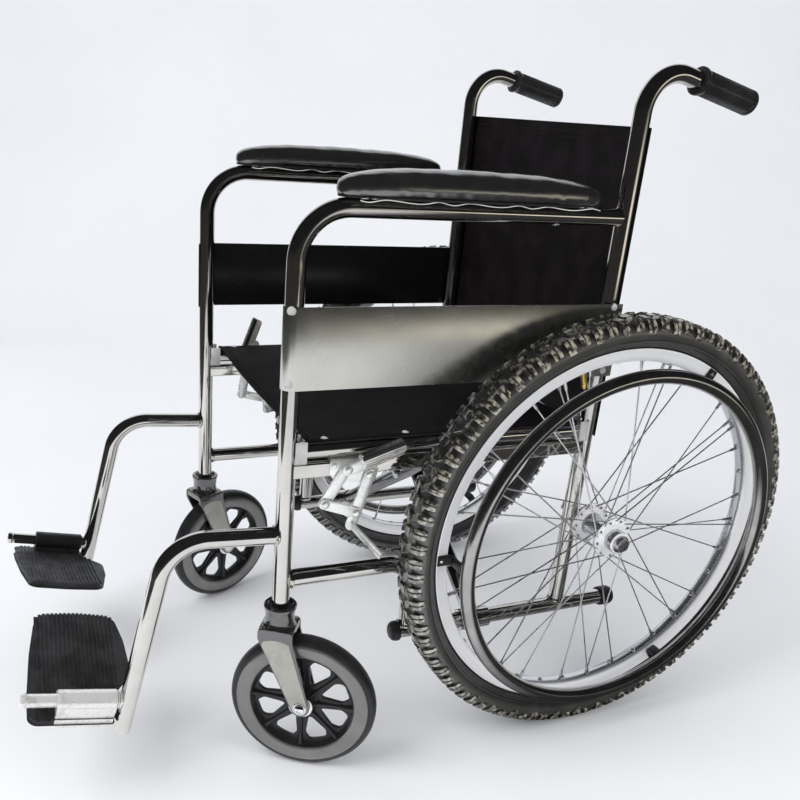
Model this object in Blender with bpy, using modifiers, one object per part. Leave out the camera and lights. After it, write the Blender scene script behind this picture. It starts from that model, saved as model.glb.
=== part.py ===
"""Folding steel wheelchair with knobby-tyred spoked wheels, built as separate named solids.

Metres, +Z up. The front of the chair faces -Y and its left side is +X. The floor is z = 0.
The frame slopes down to the rear by FRAME_PITCH, so frame pieces are laid out in square frame
coordinates and hang on an empty that is turned about the rear axle line.
"""
import math

import bmesh
import bpy
from mathutils import Matrix, Vector

# General
GAP = 0.0003
TUBE_R = 0.011
TUBE_SIDES = 12
HALF_WIDTH = 0.210
FRAME_PITCH = math.radians(1.2)
SIDES = {"left": 1, "right": -1}

# Rear wheels
RIM_R = 0.260
TYRE_H = 0.041
WHEEL_R = RIM_R + TYRE_H
AXLE_Y = 0.2262
AXLE_Z = WHEEL_R
WHEEL_GAP_X = 0.051
WHEEL_X = HALF_WIDTH + WHEEL_GAP_X
TYRE_HALF_W = 0.0252
TREAD_HALF_W = 0.0085
SHOULDER_HALF_W = 0.0185
SHOULDER_DROP = 0.0060
SIDEWALL_H = 0.0200
KNOB_COUNT = 30
KNOB_HEIGHT = 0.0055
RIM_DEPTH = 0.0190
RIM_INNER_R = RIM_R - RIM_DEPTH
RIM_BED_HALF_W = 0.0090
RIM_HALF_W = 0.0138
RIM_WALL = 0.0034
RIM_WELL = 0.0078
RIM_STEPS = 60
SPOKE_COUNT = 36
SPOKE_CROSS = 3
SPOKE_R = 0.0011
FLANGE_R = 0.0290
FLANGE_X = 0.0240
FLANGE_T = 0.0030
HUB_R = 0.0160
HUB_INNER_X = 0.0360
HUB_OUTER_X = 0.0430
AXLE_R = 0.006
AXLE_HEAD_R = 0.0105
AXLE_HEAD_T = 0.0107
AXLE_BUSH_WALL = 0.0070
AXLE_BUSH_R = AXLE_R + AXLE_BUSH_WALL
AXLE_BUSH_L = 0.030
HANDRIM_DROP = 0.0257
HANDRIM_R = RIM_R - HANDRIM_DROP
HANDRIM_STAND_OFF = 0.0484
HANDRIM_TUBE_R = 0.0095
HANDRIM_STEPS = 60
HANDRIM_TABS = 3
TAB_FIRST = math.radians(30.0)
TAB_W = 0.014
TAB_T = 0.003

# Side frame, in frame coordinates
FRONT_REACH = 0.1392
FRONT_Y = AXLE_Y - WHEEL_R - FRONT_REACH
POST_SET = 0.0142
POST_Y = AXLE_Y - POST_SET
ARM_Z = 0.712
ARM_BEND_R = 0.060
CASTER_R = 0.097
CROWN_RISE = -0.0060
CROWN_LOW = 2 * CASTER_R + CROWN_RISE
FRONT_FOOT_RISE = 0.0150
FRONT_FOOT_Z = CROWN_LOW + FRONT_FOOT_RISE
SOCKET_L = 0.0240
SOCKET_TOP = FRONT_FOOT_Z + SOCKET_L
LOW_RISE = 0.0342
LOW_Z = SOCKET_TOP + LOW_RISE
LOW_L = 0.1807
LOW_DROP_Y = FRONT_Y + LOW_L
LOW_BEND_R = 0.036
BOTTOM_Z = 0.156
BOTTOM_FRONT_L = 0.0116
BOTTOM_FRONT_Y = LOW_DROP_Y - BOTTOM_FRONT_L
BOTTOM_REAR_L = 0.0920
BOTTOM_REAR_Y = POST_Y + BOTTOM_REAR_L
CAP_WALL = 0.0030
CAP_R = TUBE_R + CAP_WALL
CAP_L = 0.022
PLUG_L = 0.0125
JOIN = 0.004
HANDLE_TOP_Z = 0.8915
HANDLE_BEND_R = 0.046
HANDLE_SLOPE = math.radians(12.0)
GRIP_START = 0.0746
GRIP_L = 0.0925
GRIP_WALL = 0.0042
GRIP_R = TUBE_R + GRIP_WALL
GRIP_COLLAR_WALL = 0.0060
GRIP_COLLAR_R = TUBE_R + GRIP_COLLAR_WALL
GRIP_COLLAR_L = 0.006
GRIP_WALL_END = 0.004
BAR_Z = 0.409
BAR_SIZE = 0.019
HANGER_Z = 0.3235
HANGER_RISE = 0.06
HANGER_REACH = 0.1390
HANGER_CORNER_Y = FRONT_Y - HANGER_REACH
HANGER_BEND_R = 0.055
HANGER_LEAN = math.radians(13.4)
HANGER_FOOT_Z = 0.0800

# Footplates, turned about the pin of each hanger
FOOT_TILT = math.radians(11.4)
PIN_RISE = math.radians(11.8)
PIN_Z = 0.1225
PIN_R = 0.0080
PIN_L = 0.1210
SLEEVE_START = 0.0150
SLEEVE_END = 0.0836
SLEEVE_WALL = 0.0048
SLEEVE_R = PIN_R + SLEEVE_WALL
PLATE_DROP = 0.0167
PLATE_T = 0.0095
PLATE_REACH = 0.162
PLATE_FRONT = 0.1105
PLATE_REAR = -0.0110
PLATE_INNER_FRONT = 0.0990
PLATE_INNER_REAR = 0.0025
RIB_PITCH = 0.0088
RIB_W = 0.0048
RIB_H = 0.0016
FLANGE_WALL = 0.0036

# Folding cross brace and seat
BRACE_Y = 0.0595
BRACE_CLEARANCE = 0.0025
BRACE_PITCH = 2 * TUBE_R + BRACE_CLEARANCE
BRACE_SLEEVE_WALL = 0.0040
BRACE_SLEEVE_R = TUBE_R + BRACE_SLEEVE_WALL
BRACE_SLEEVE_L = 0.046
BRACE_BOLT_R = 0.004
SADDLE_CLEARANCE = 0.0005
SADDLE_FLOOR = 0.0025
SADDLE_WALL = 0.0035
SADDLE_RISE = 0.0145
SADDLE_W = 2 * (TUBE_R + SADDLE_WALL)
SADDLE_L = 0.0085
SADDLE_LOW = BAR_Z + BAR_SIZE / 2 + SADDLE_CLEARANCE
SEAT_RAIL_Z = SADDLE_LOW + SADDLE_FLOOR + TUBE_R
SADDLE_HIGH = SEAT_RAIL_Z + SADDLE_RISE
RAIL_END_GAP = 0.0030
SLING_T = 0.0026
SLING_SAG = 0.009
SLING_FRONT_GAP = 0.0020
SLING_REAR_GAP = 0.0020
SLING_WRAP = math.radians(40.0)
BACK_T = 0.0026
BACK_LOW = 0.424
BACK_HIGH = 0.818
BACK_BOW = 0.012
BACK_WRAP = math.radians(47.0)

# Arm pads and skirt guards
PAD_W = 0.058
PAD_FRONT_GAP = 0.0400
PAD_REAR_GAP = 0.0430
PAD_FRONT_Y = FRONT_Y + PAD_FRONT_GAP
PAD_REAR_Y = POST_Y - PAD_REAR_GAP
PAD_H = 0.0345
PAD_SINK = 0.006
GUARD_T = 0.0016
GUARD_LOW = 0.510
GUARD_H = 0.096
GUARD_HIGH = GUARD_LOW + GUARD_H
GUARD_REAR_LAP = 0.0135
GUARD_REAR_Y = POST_Y + GUARD_REAR_LAP
GUARD_WRAP = math.radians(95.0)
GUARD_SCREW_TURN = math.radians(32.0)
SCREW_SET_LOW = 0.0080
SCREW_SET_HIGH = 0.0045
SCREW_R = 0.0052
SCREW_H = 0.0022

# Casters
CASTER_HALF_W = 0.0135
CASTER_TYRE_H = 0.0280
CASTER_RIM_R = CASTER_R - CASTER_TYRE_H
CASTER_WEB_T = 0.0050
CASTER_HUB_R = 0.0150
CASTER_HUB_STAND = 0.0023
CASTER_HUB_HALF_W = CASTER_HALF_W + CASTER_HUB_STAND
CASTER_AXLE_R = 0.0040
CASTER_NUT_R = 0.0070
CASTER_TRAIL = 0.0367
CASTER_WINDOWS = 8
SWIVEL = {"left": math.radians(-33.0), "right": math.radians(21.4)}
FORK_CLEARANCE = 0.0008
FORK_LEG_X = CASTER_HUB_HALF_W + FORK_CLEARANCE
FORK_LEG_T = 0.0052
FORK_TOP_W = 0.046
FORK_END_R = 0.0125
CROWN_T = 0.0110
BEARING_WALL = 0.0042
SOCKET_BORE_R = TUBE_R + BEARING_WALL
SOCKET_WALL = 0.0060
SOCKET_R = SOCKET_BORE_R + SOCKET_WALL

# Brakes: pivots in the side plane, y and z in frame coordinates
BRAKE_STAND_OFF = 0.0372
BRAKE_SPREAD_Y = 0.0310
BRAKE_P1_RISE = 0.0020
BRAKE_P4_DROP = 0.0090
BRAKE_P4 = (AXLE_Y - WHEEL_R - BRAKE_STAND_OFF, BAR_Z - BRAKE_P4_DROP)
BRAKE_P1 = (BRAKE_P4[0] - BRAKE_SPREAD_Y, BAR_Z + BRAKE_P1_RISE)
BRAKE_ARM_L = 0.0515
BRAKE_LINK_L = 0.0449
FRONT_ARM_FREE = math.radians(30.6)
SHOE_ARM_FREE = math.radians(17.0)
ARM_TRAVEL = math.radians(22.0)
HANDLE_FREE = math.radians(14.0)
HANDLE_TRAVEL = math.radians(52.0)
BRAKE_LAYER_T = 0.0025
BRAKE_PLATE_X = HALF_WIDTH + BAR_SIZE / 2 + GAP
BRAKE_ARM_W = 0.015
BRAKE_PIN_R = 0.0030
BRAKE_HEAD_R = 0.0050
BRAKE_HEAD_T = 0.0016
BRAKE_GRIP_START = 0.024
BRAKE_GRIP_L = 0.062
BRAKE_GRIP_H = 0.0160
BRAKE_GRIP_W = 0.0180
SHOE_REACH_X = 0.046
SHOE_REACH_Y = 0.023
SHOE_REACH_Z = -0.024
SHOE_DROP = 0.0690
SHOE_W = 0.012
SHOE_T = 0.003


def clear_scene():
    for item in list(bpy.data.objects):
        bpy.data.objects.remove(item)


clear_scene()
MODEL = bpy.data.collections.new("wheelchair")
bpy.context.scene.collection.children.link(MODEL)


# Materials

def paint(name, colour, roughness, metallic):
    mat = bpy.data.materials.new(name)
    mat.use_nodes = True
    shader = mat.node_tree.nodes["Principled BSDF"]
    shader.inputs["Base Color"].default_value = (*colour, 1.0)
    shader.inputs["Roughness"].default_value = roughness
    shader.inputs["Metallic"].default_value = metallic
    mat.diffuse_color = (*colour, 1.0)
    return mat


FINISHES = {
    "frame_paint": ((0.035, 0.034, 0.036), 0.22, 0.6),
    "zinc": ((0.78, 0.78, 0.80), 0.25, 1.0),
    "chrome": ((0.85, 0.85, 0.87), 0.10, 1.0),
    "black_rubber": ((0.022, 0.022, 0.024), 0.55, 0.0),
    "black_plastic": ((0.045, 0.045, 0.048), 0.38, 0.0),
    "white_nylon": ((0.86, 0.86, 0.84), 0.45, 0.0),
    "black_fabric": ((0.018, 0.016, 0.018), 0.80, 0.0),
    "pad_vinyl": ((0.022, 0.024, 0.025), 0.35, 0.0),
    "cast_silver": ((0.62, 0.62, 0.60), 0.30, 1.0),
    "bar_paint": ((0.30, 0.29, 0.27), 0.30, 0.6),
}


# Shape helpers

def new_object(name, mesh):
    item = bpy.data.objects.new(name, mesh)
    MODEL.objects.link(item)
    return item


def from_bmesh(name, bm):
    mesh = bpy.data.meshes.new(name)
    bm.to_mesh(mesh)
    bm.free()
    return new_object(name, mesh)


def clean(mesh):
    """Welds loose caps and turns every face outward."""
    bm = bmesh.new()
    bm.from_mesh(mesh)
    bmesh.ops.remove_doubles(bm, verts=bm.verts, dist=1e-6)
    bmesh.ops.dissolve_degenerate(bm, edges=bm.edges, dist=1e-7)
    bmesh.ops.recalc_face_normals(bm, faces=bm.faces)
    bm.to_mesh(mesh)
    bm.free()


def bake(item):
    """Replaces an object, curve or mesh, by a mesh object of what its modifiers make."""
    bpy.context.view_layer.update()
    graph = bpy.context.evaluated_depsgraph_get()
    mesh = bpy.data.meshes.new_from_object(item.evaluated_get(graph))
    clean(mesh)
    baked = bpy.data.objects.new("baked", mesh)
    MODEL.objects.link(baked)
    baked.matrix_world = item.matrix_world.copy()
    name = item.name
    bpy.data.objects.remove(item)
    baked.name = name
    mesh.name = name
    return baked


def boolean(item, other, operation):
    """Joins or cuts an object with another, which is used up."""
    step = item.modifiers.new("boolean", "BOOLEAN")
    step.operation = operation
    step.solver = "EXACT"
    step.object = other
    baked = bake(item)
    bpy.data.objects.remove(other)
    return baked


def join(item, *others):
    for other in others:
        item = boolean(item, other, "UNION")
    return item


def cut(item, *cutters):
    for cutter in cutters:
        item = boolean(item, cutter, "DIFFERENCE")
    return item


def moved(item, matrix):
    """Applies a placing matrix to the mesh itself."""
    item.data.transform(matrix)
    return item


def round_corner(before, corner, after, radius, steps):
    """Points of the arc that rounds one corner of a path."""
    toward = (before - corner).normalized()
    away = (after - corner).normalized()
    half = toward.angle(away) / 2
    start = corner + toward * (radius / math.tan(half))
    end = corner + away * (radius / math.tan(half))
    centre = corner + (toward + away).normalized() * (radius / math.sin(half))
    first = start - centre
    last = end - centre
    turn = first.angle(last)
    arc = []
    for index in range(steps + 1):
        share = index / steps
        weight_a = math.sin((1 - share) * turn) / math.sin(turn)
        weight_b = math.sin(share * turn) / math.sin(turn)
        arc.append(centre + first * weight_a + last * weight_b)
    return arc


def rounded_path(corners, radii, steps=6):
    corners = [Vector(point) for point in corners]
    path = [corners[0]]
    for index, radius in enumerate(radii):
        path += round_corner(corners[index], corners[index + 1], corners[index + 2], radius, steps)
    path.append(corners[-1])
    return path


def rounded_outline(points, radius, steps=3):
    points = [Vector((*point, 0.0)) for point in points]
    outline = []
    for index, corner in enumerate(points):
        before = points[index - 1]
        after = points[(index + 1) % len(points)]
        outline += round_corner(before, corner, after, radius, steps)
    return [(point.x, point.y) for point in outline]


def curve_object(name, points, cyclic, flat):
    curve = bpy.data.curves.new(name, "CURVE")
    curve.dimensions = "2D" if flat else "3D"
    spline = curve.splines.new("POLY")
    spline.points.add(len(points) - 1)
    for target, point in zip(spline.points, points):
        place = Vector(point).to_3d()
        target.co = (place.x, place.y, place.z, 1.0)
    spline.use_cyclic_u = cyclic
    return new_object(name, curve)


def tube(name, points, radius, sides=TUBE_SIDES):
    item = curve_object(name, points, False, False)
    item.data.bevel_depth = radius
    item.data.bevel_resolution = sides // 2 - 2
    item.data.use_fill_caps = True
    return bake(item)


def plate(name, outline, low_x, high_x):
    """A flat outline in the side plane (y, z), from low_x to high_x."""
    item = curve_object(name, outline, True, True)
    item.data.fill_mode = "BOTH"
    item.data.extrude = (high_x - low_x) / 2
    item = bake(item)
    middle = (low_x + high_x) / 2
    turn = Matrix(((0, 0, 1, middle), (1, 0, 0, 0), (0, 1, 0, 0), (0, 0, 0, 1)))
    return moved(item, turn)


def turned(name, profile, steps, closed=True):
    """A profile of (radius, height) points turned about Z; closed makes a ring."""
    bm = bmesh.new()
    verts = [bm.verts.new((radius, 0.0, height)) for radius, height in profile]
    for first, second in zip(verts, verts[1:]):
        bm.edges.new((first, second))
    if closed:
        bm.edges.new((verts[-1], verts[0]))
    item = from_bmesh(name, bm)
    screw = item.modifiers.new("turn", "SCREW")
    screw.axis = "Z"
    screw.steps = steps
    screw.render_steps = steps
    screw.use_merge_vertices = True
    screw.merge_threshold = 0.00001
    return bake(item)


def turned_x(name, profile, steps, closed=True):
    """A profile of (radius, x) points turned about X."""
    item = turned(name, profile, steps, closed)
    return moved(item, Matrix(((0, 0, 1, 0), (1, 0, 0, 0), (0, 1, 0, 0), (0, 0, 0, 1))))


def block(name, low, high, bevel=0.0):
    bm = bmesh.new()
    bmesh.ops.create_cube(bm, size=1.0)
    low = Vector(low)
    high = Vector(high)
    size = high - low
    bmesh.ops.scale(bm, vec=size, verts=bm.verts)
    bmesh.ops.translate(bm, vec=(low + high) / 2, verts=bm.verts)
    item = from_bmesh(name, bm)
    if bevel:
        step = item.modifiers.new("edges", "BEVEL")
        step.width = bevel
        step.segments = 1
        item = bake(item)
    return item


def rod(name, start, end, radius, sides=TUBE_SIDES, end_radius=None):
    start = Vector(start)
    end = Vector(end)
    along = end - start
    bm = bmesh.new()
    bmesh.ops.create_cone(bm, cap_ends=True, segments=sides, radius1=radius,
                          radius2=radius if end_radius is None else end_radius, depth=along.length)
    turn = along.to_track_quat("Z", "Y").to_matrix().to_4x4()
    bmesh.ops.transform(bm, matrix=Matrix.Translation((start + end) / 2) @ turn, verts=bm.verts)
    return from_bmesh(name, bm)


def x_rod(name, low_x, high_x, y, z, radius, sides=TUBE_SIDES):
    return rod(name, (low_x, y, z), (high_x, y, z), radius, sides)


# Placing

class Pivot:
    """An empty on a joint axis or at a carrier's origin, and where it lies in the frame."""

    def __init__(self, name, place, parent=None, turn=None):
        self.empty = bpy.data.objects.new(name, None)
        self.empty.empty_display_size = 0.03
        MODEL.objects.link(self.empty)
        self.place = Vector(place)
        self.turned = turn is not None
        if parent:
            self.empty.parent = parent.empty
            self.empty.location = self.place - parent.place
        else:
            self.empty.location = self.place
        if turn is not None:
            self.empty.rotation_euler = turn

    def carry(self, item, finish, local=False):
        """Hangs an object built in frame coordinates, or in the pivot's own, on the pivot."""
        if not local:
            item.data.transform(Matrix.Translation(-self.place))
        item.parent = self.empty
        item.data.materials.clear()
        item.data.materials.append(paint(item.name, *FINISHES[finish]))
        item.data.shade_smooth()
        item.data.set_sharp_from_angle(angle=math.radians(32.0))


def frame_height(y, z):
    """The frame z of a point that stands at height z above the floor, at frame y."""
    drop = (y - AXLE_Y) * math.sin(FRAME_PITCH)
    return AXLE_Z + (z - AXLE_Z + drop) / math.cos(FRAME_PITCH)


# Side frame tubes

def coping(x, y, z, along, radius, reach=0.06):
    """A cutter that shapes a tube's end to sit against a tube that runs along an axis."""
    place = Vector((x, y, z))
    offset = Vector(along) * reach
    return rod("coping", place - offset, place + offset, radius + GAP, 16)


def make_front_tube(name, x):
    corners = [(x, FRONT_Y, FRONT_FOOT_Z), (x, FRONT_Y, ARM_Z), (x, POST_Y - JOIN, ARM_Z)]
    item = tube(name, rounded_path(corners, [ARM_BEND_R], 8), TUBE_R)
    return cut(item, coping(x, POST_Y, ARM_Z, (0, 0, 1), TUBE_R))


def handle_line():
    """The bend corner of the push handle and the direction of its grip."""
    corner = Vector((0.0, POST_Y, HANDLE_TOP_Z))
    along = Vector((0.0, math.cos(HANDLE_SLOPE), -math.sin(HANDLE_SLOPE)))
    return corner, along


def make_rear_post(name, x, side):
    corner, along = handle_line()
    end = corner + along * (GRIP_START + GRIP_L - GRIP_WALL_END - GAP)
    corners = [(x, POST_Y, BOTTOM_Z + JOIN), (x, POST_Y, HANDLE_TOP_Z), (x, end.y, end.z)]
    item = tube(name, rounded_path(corners, [HANDLE_BEND_R], 8), TUBE_R)
    bush_in = x - side * (AXLE_BUSH_L - TUBE_R)
    bush_out = x + side * TUBE_R
    item = join(item, x_rod("bush", bush_in, bush_out, AXLE_Y, AXLE_Z, AXLE_BUSH_R, 16))
    hole = x_rod("hole", x - 0.06, x + 0.06, AXLE_Y, AXLE_Z, AXLE_R + GAP, 12)
    return cut(item, hole, coping(x, POST_Y, BOTTOM_Z, (0, 1, 0), TUBE_R))


def make_lower_rail(name, x):
    corners = [(x, FRONT_Y + JOIN, LOW_Z), (x, LOW_DROP_Y, LOW_Z), (x, LOW_DROP_Y, BOTTOM_Z + JOIN)]
    item = tube(name, rounded_path(corners, [LOW_BEND_R], 6), TUBE_R)
    front = coping(x, FRONT_Y, LOW_Z, (0, 0, 1), TUBE_R)
    return cut(item, front, coping(x, LOW_DROP_Y, BOTTOM_Z, (0, 1, 0), TUBE_R))


def make_bottom_rail(name, x):
    """The lowest tube, with its round front plug; the rear end takes a rubber cap."""
    item = rod(name, (x, BOTTOM_FRONT_Y, BOTTOM_Z), (x, BOTTOM_REAR_Y, BOTTOM_Z), TUBE_R, TUBE_SIDES)
    plug = cap_profile(name + "_plug", x, BOTTOM_FRONT_Y, -1, PLUG_L, PLUG_L)
    return join(item, plug)


def cap_profile(name, x, y, way, length=CAP_L, nose=0.006):
    """A round-nosed cap whose open face lies at y and whose nose points along way."""
    back = -0.002 if length < CAP_L else 0.0
    nose = min(nose, length - 0.001)
    profile = [(0.0, back), (TUBE_R if back else CAP_R, back)]
    profile += [(TUBE_R, 0.0)] if back else []
    profile += [(CAP_R, 0.0), (CAP_R, length - nose)]
    for index in range(1, 3):
        angle = math.pi / 2 * index / 2
        height = length - nose + nose * math.sin(angle)
        radius = CAP_R - nose + nose * math.cos(angle)
        profile.append((radius, height))
    profile.append((0.0, length))
    item = turned(name, profile, 12, closed=False)
    turn = Matrix.Rotation(math.radians(-90.0 * way), 4, "X")
    return moved(item, Matrix.Translation((x, y, BOTTOM_Z)) @ turn)


def make_rear_cap(name, x):
    """A rubber cap pushed over the rear end of the bottom rail."""
    overlap = 0.014
    item = cap_profile(name, x, BOTTOM_REAR_Y - overlap, 1)
    bore = rod("bore", (x, BOTTOM_REAR_Y - overlap - 0.01, BOTTOM_Z),
               (x, BOTTOM_REAR_Y + GAP, BOTTOM_Z), TUBE_R + GAP, 16)
    return cut(item, bore)


def make_brake_bar(name, x):
    half = BAR_SIZE / 2
    item = block(name, (x - half, FRONT_Y, BAR_Z - half), (x + half, POST_Y, BAR_Z + half), 0.0015)
    front = coping(x, FRONT_Y, BAR_Z, (0, 0, 1), TUBE_R)
    return cut(item, front, coping(x, POST_Y, BAR_Z, (0, 0, 1), TUBE_R))


def hanger_foot():
    """Where the hanger tube ends, and where the footplate pin leaves it."""
    fall = HANGER_Z + HANGER_RISE * (FRONT_Y - HANGER_CORNER_Y)
    foot_y = HANGER_CORNER_Y - math.tan(HANGER_LEAN) * (fall - HANGER_FOOT_Z)
    pin_y = HANGER_CORNER_Y - math.tan(HANGER_LEAN) * (fall - PIN_Z)
    return fall, foot_y, pin_y


def make_hanger(name, x):
    """The footrest tube, with the pin that the footplate turns on."""
    fall, foot_y, pin_y = hanger_foot()
    corners = [(x, FRONT_Y - JOIN, HANGER_Z), (x, HANGER_CORNER_Y, fall), (x, foot_y, HANGER_FOOT_Z)]
    item = tube(name, rounded_path(corners, [HANGER_BEND_R], 8), TUBE_R)
    pin_way = Vector((0.0, -math.cos(PIN_RISE), math.sin(PIN_RISE)))
    start = Vector((x, pin_y, PIN_Z))
    tip = start + pin_way * PIN_L
    shank = rod("pin", start, tip, PIN_R, 12)
    dome = rod("dome", tip - pin_way * 0.001, tip + pin_way * 0.004, PIN_R * 1.12, 12, PIN_R * 0.55)
    item = join(item, shank, dome)
    return cut(item, coping(x, FRONT_Y, HANGER_Z, (0, 0, 1), TUBE_R))


def make_saddle(name, x, tube_y, way):
    """A nylon cradle: hollowed to its upright tube and open upward for the seat rail."""
    near = tube_y
    far = tube_y + way * (TUBE_R + SADDLE_L)
    low = (x - SADDLE_W / 2, min(near, far), SADDLE_LOW)
    high = (x + SADDLE_W / 2, max(near, far), SADDLE_HIGH)
    item = block(name, low, high, 0.002)
    seat = rod("seat", (x, near - 0.04, SEAT_RAIL_Z), (x, far + 0.04, SEAT_RAIL_Z), TUBE_R + GAP, 16)
    mouth_half = TUBE_R + GAP
    mouth = block("mouth", (x - mouth_half, near - 0.04, SEAT_RAIL_Z), (x + mouth_half, near + 0.04, SADDLE_HIGH + 0.01))
    return cut(item, seat, mouth, coping(x, tube_y, SEAT_RAIL_Z, (0, 0, 1), TUBE_R))


def make_grip(name, x):
    """A rubber grip over the end of the push handle, with a collar at its mouth."""
    bore = TUBE_R + GAP
    tip = GRIP_L - 0.004
    profile = [(bore, 0.0), (GRIP_COLLAR_R, 0.0), (GRIP_COLLAR_R, GRIP_COLLAR_L),
               (GRIP_R, GRIP_COLLAR_L + 0.003), (GRIP_R, tip), (GRIP_R - 0.003, GRIP_L),
               (0.0, GRIP_L)]
    profile += [(0.0, GRIP_L - GRIP_WALL_END), (bore, GRIP_L - GRIP_WALL_END)]
    item = turned(name, [(0.0, GRIP_L - GRIP_WALL_END), (bore, GRIP_L - GRIP_WALL_END)] + profile[:-2],
                  16, closed=False)
    corner, along = handle_line()
    start = corner + along * GRIP_START
    turn = along.to_track_quat("Z", "Y").to_matrix().to_4x4()
    return moved(item, Matrix.Translation((x, start.y, start.z)) @ turn)


def make_guard(name, side):
    """A sheet skirt guard over the side frame, wrapped round the front tube, with its screw heads."""
    inner = TUBE_R + GAP
    outer = inner + GUARD_T
    rear = GUARD_REAR_Y - FRONT_Y
    plan = [(inner, rear)]
    for radius, turns in ((inner, range(7)), (outer, range(6, -1, -1))):
        for index in turns:
            angle = GUARD_WRAP * index / 6
            plan.append((radius * math.cos(angle), -radius * math.sin(angle)))
    plan.append((outer, rear))
    flat = curve_object(name, plan, True, True)
    flat.data.fill_mode = "BOTH"
    flat.data.extrude = GUARD_H / 2
    item = moved(bake(flat), Matrix.Translation((0.0, 0.0, GUARD_LOW + GUARD_H / 2)))
    for y, angle in ((0.0, GUARD_SCREW_TURN), (POST_Y - FRONT_Y, 0.0)):
        way = Vector((math.cos(angle), -math.sin(angle), 0.0))
        for z in (GUARD_LOW + SCREW_SET_LOW, GUARD_HIGH - SCREW_SET_HIGH):
            centre = Vector((0.0, y, z))
            start, end = centre + way * (outer - 0.0008), centre + way * (outer + SCREW_H)
            item = join(item, rod("screw", start, end, SCREW_R, 10, SCREW_R * 0.6))
    item = moved(item, Matrix.Translation((HALF_WIDTH, FRONT_Y, 0.0)))
    return mirrored(item) if side < 0 else item


def make_pad(name, x):
    """An upholstered arm pad: a crowned cage with rounded ends."""
    bm = bmesh.new()
    bmesh.ops.create_cube(bm, size=1.0)
    ends = [edge for edge in bm.edges if abs(edge.verts[0].co.y - edge.verts[1].co.y) > 0.5]
    bmesh.ops.subdivide_edges(bm, edges=ends, cuts=4, use_grid_fill=True)
    low = ARM_Z + TUBE_R + GAP
    length = PAD_REAR_Y - PAD_FRONT_Y
    middle = (PAD_REAR_Y + PAD_FRONT_Y) / 2
    for vert in bm.verts:
        share = vert.co.y * 2
        taper = 1 - 0.12 * share * share
        vert.co.x = x + vert.co.x * PAD_W * taper * 1.08
        height = PAD_H * (1 - 0.18 * share * share) * 1.065 if vert.co.z > 0 else -PAD_SINK
        vert.co.z = low + height
        vert.co.y = middle + length * math.copysign(abs(share) ** 0.72, share) / 2 * 1.02
    item = from_bmesh(name, bm)
    smooth = item.modifiers.new("smooth", "SUBSURF")
    smooth.levels = 2
    smooth.render_levels = 2
    item = bake(item)
    slab = block("under", (x - 0.1, -0.4, low - 0.05), (x + 0.1, 0.4, low))
    return cut(item, slab)


# Footplate

def make_footplate(name, side):
    """Built about the pin: Y runs rearward along the pin, -side X points to the chair's middle."""
    top = -PLATE_DROP
    tip_low = top - PLATE_T
    half = SLEEVE_R
    outline = [(half, -SLEEVE_START), (-0.016, -0.0140), (-0.030, -0.0135), (-0.062, -PLATE_REAR),
               (-0.118, -PLATE_REAR - 0.004), (-PLATE_REACH, -PLATE_INNER_REAR),
               (-PLATE_REACH - 0.004, -0.050), (-PLATE_REACH, -PLATE_INNER_FRONT),
               (-0.100, -PLATE_FRONT + 0.004), (-0.030, -PLATE_FRONT), (half, -PLATE_FRONT)]
    flat = curve_object(name, [(side * x, y) for x, y in outline], True, True)
    flat.data.fill_mode = "BOTH"
    flat.data.extrude = (PLATE_T + RIB_H) / 2
    item = moved(bake(flat), Matrix.Translation((0.0, 0.0, tip_low + (PLATE_T + RIB_H) / 2)))
    item = boolean(item, ribbed_slab(side, tip_low, top), "INTERSECT")
    wall_x = sorted((side * (half - FLANGE_WALL), side * half))
    wall = block("wall", (wall_x[0], -SLEEVE_END, tip_low - 0.006), (wall_x[1], -SLEEVE_START, 0.0), 0.001)
    sleeve = rod("sleeve", (0.0, -SLEEVE_START, 0.0), (0.0, -SLEEVE_END, 0.0), SLEEVE_R, 16)
    web = block("web", (-side * 0.004 if side > 0 else -half + 0.0005, -SLEEVE_END + 0.0004, tip_low + 0.001),
                (half - 0.0005 if side > 0 else 0.004, -SLEEVE_START - 0.0004, -0.004))
    item = join(item, wall, sleeve, web)
    bore = rod("bore", (0.0, 0.05, 0.0), (0.0, -0.2, 0.0), PIN_R + GAP, 12)
    return cut(item, bore)


def ribbed_slab(side, low, top):
    """A slab whose upper side carries ribs that run across the chair."""
    start = -PLATE_FRONT - 0.01
    count = int((PLATE_FRONT - PLATE_REAR + 0.02) / RIB_PITCH)
    outline = [(start, low - 0.0005)]
    outline.append((start, top))
    for index in range(count):
        rib = start + 0.006 + index * RIB_PITCH
        outline += [(rib, top), (rib + 0.0006, top + RIB_H), (rib + RIB_W - 0.0006, top + RIB_H),
                    (rib + RIB_W, top)]
    end = start + 0.006 + count * RIB_PITCH + 0.004
    outline += [(end, top), (end, low - 0.0005)]
    reach = sorted((side * 0.05, -side * (PLATE_REACH + 0.02)))
    return plate("ribs", outline[::-1], reach[0], reach[1])


# Cross brace, seat rails and soft parts

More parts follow.
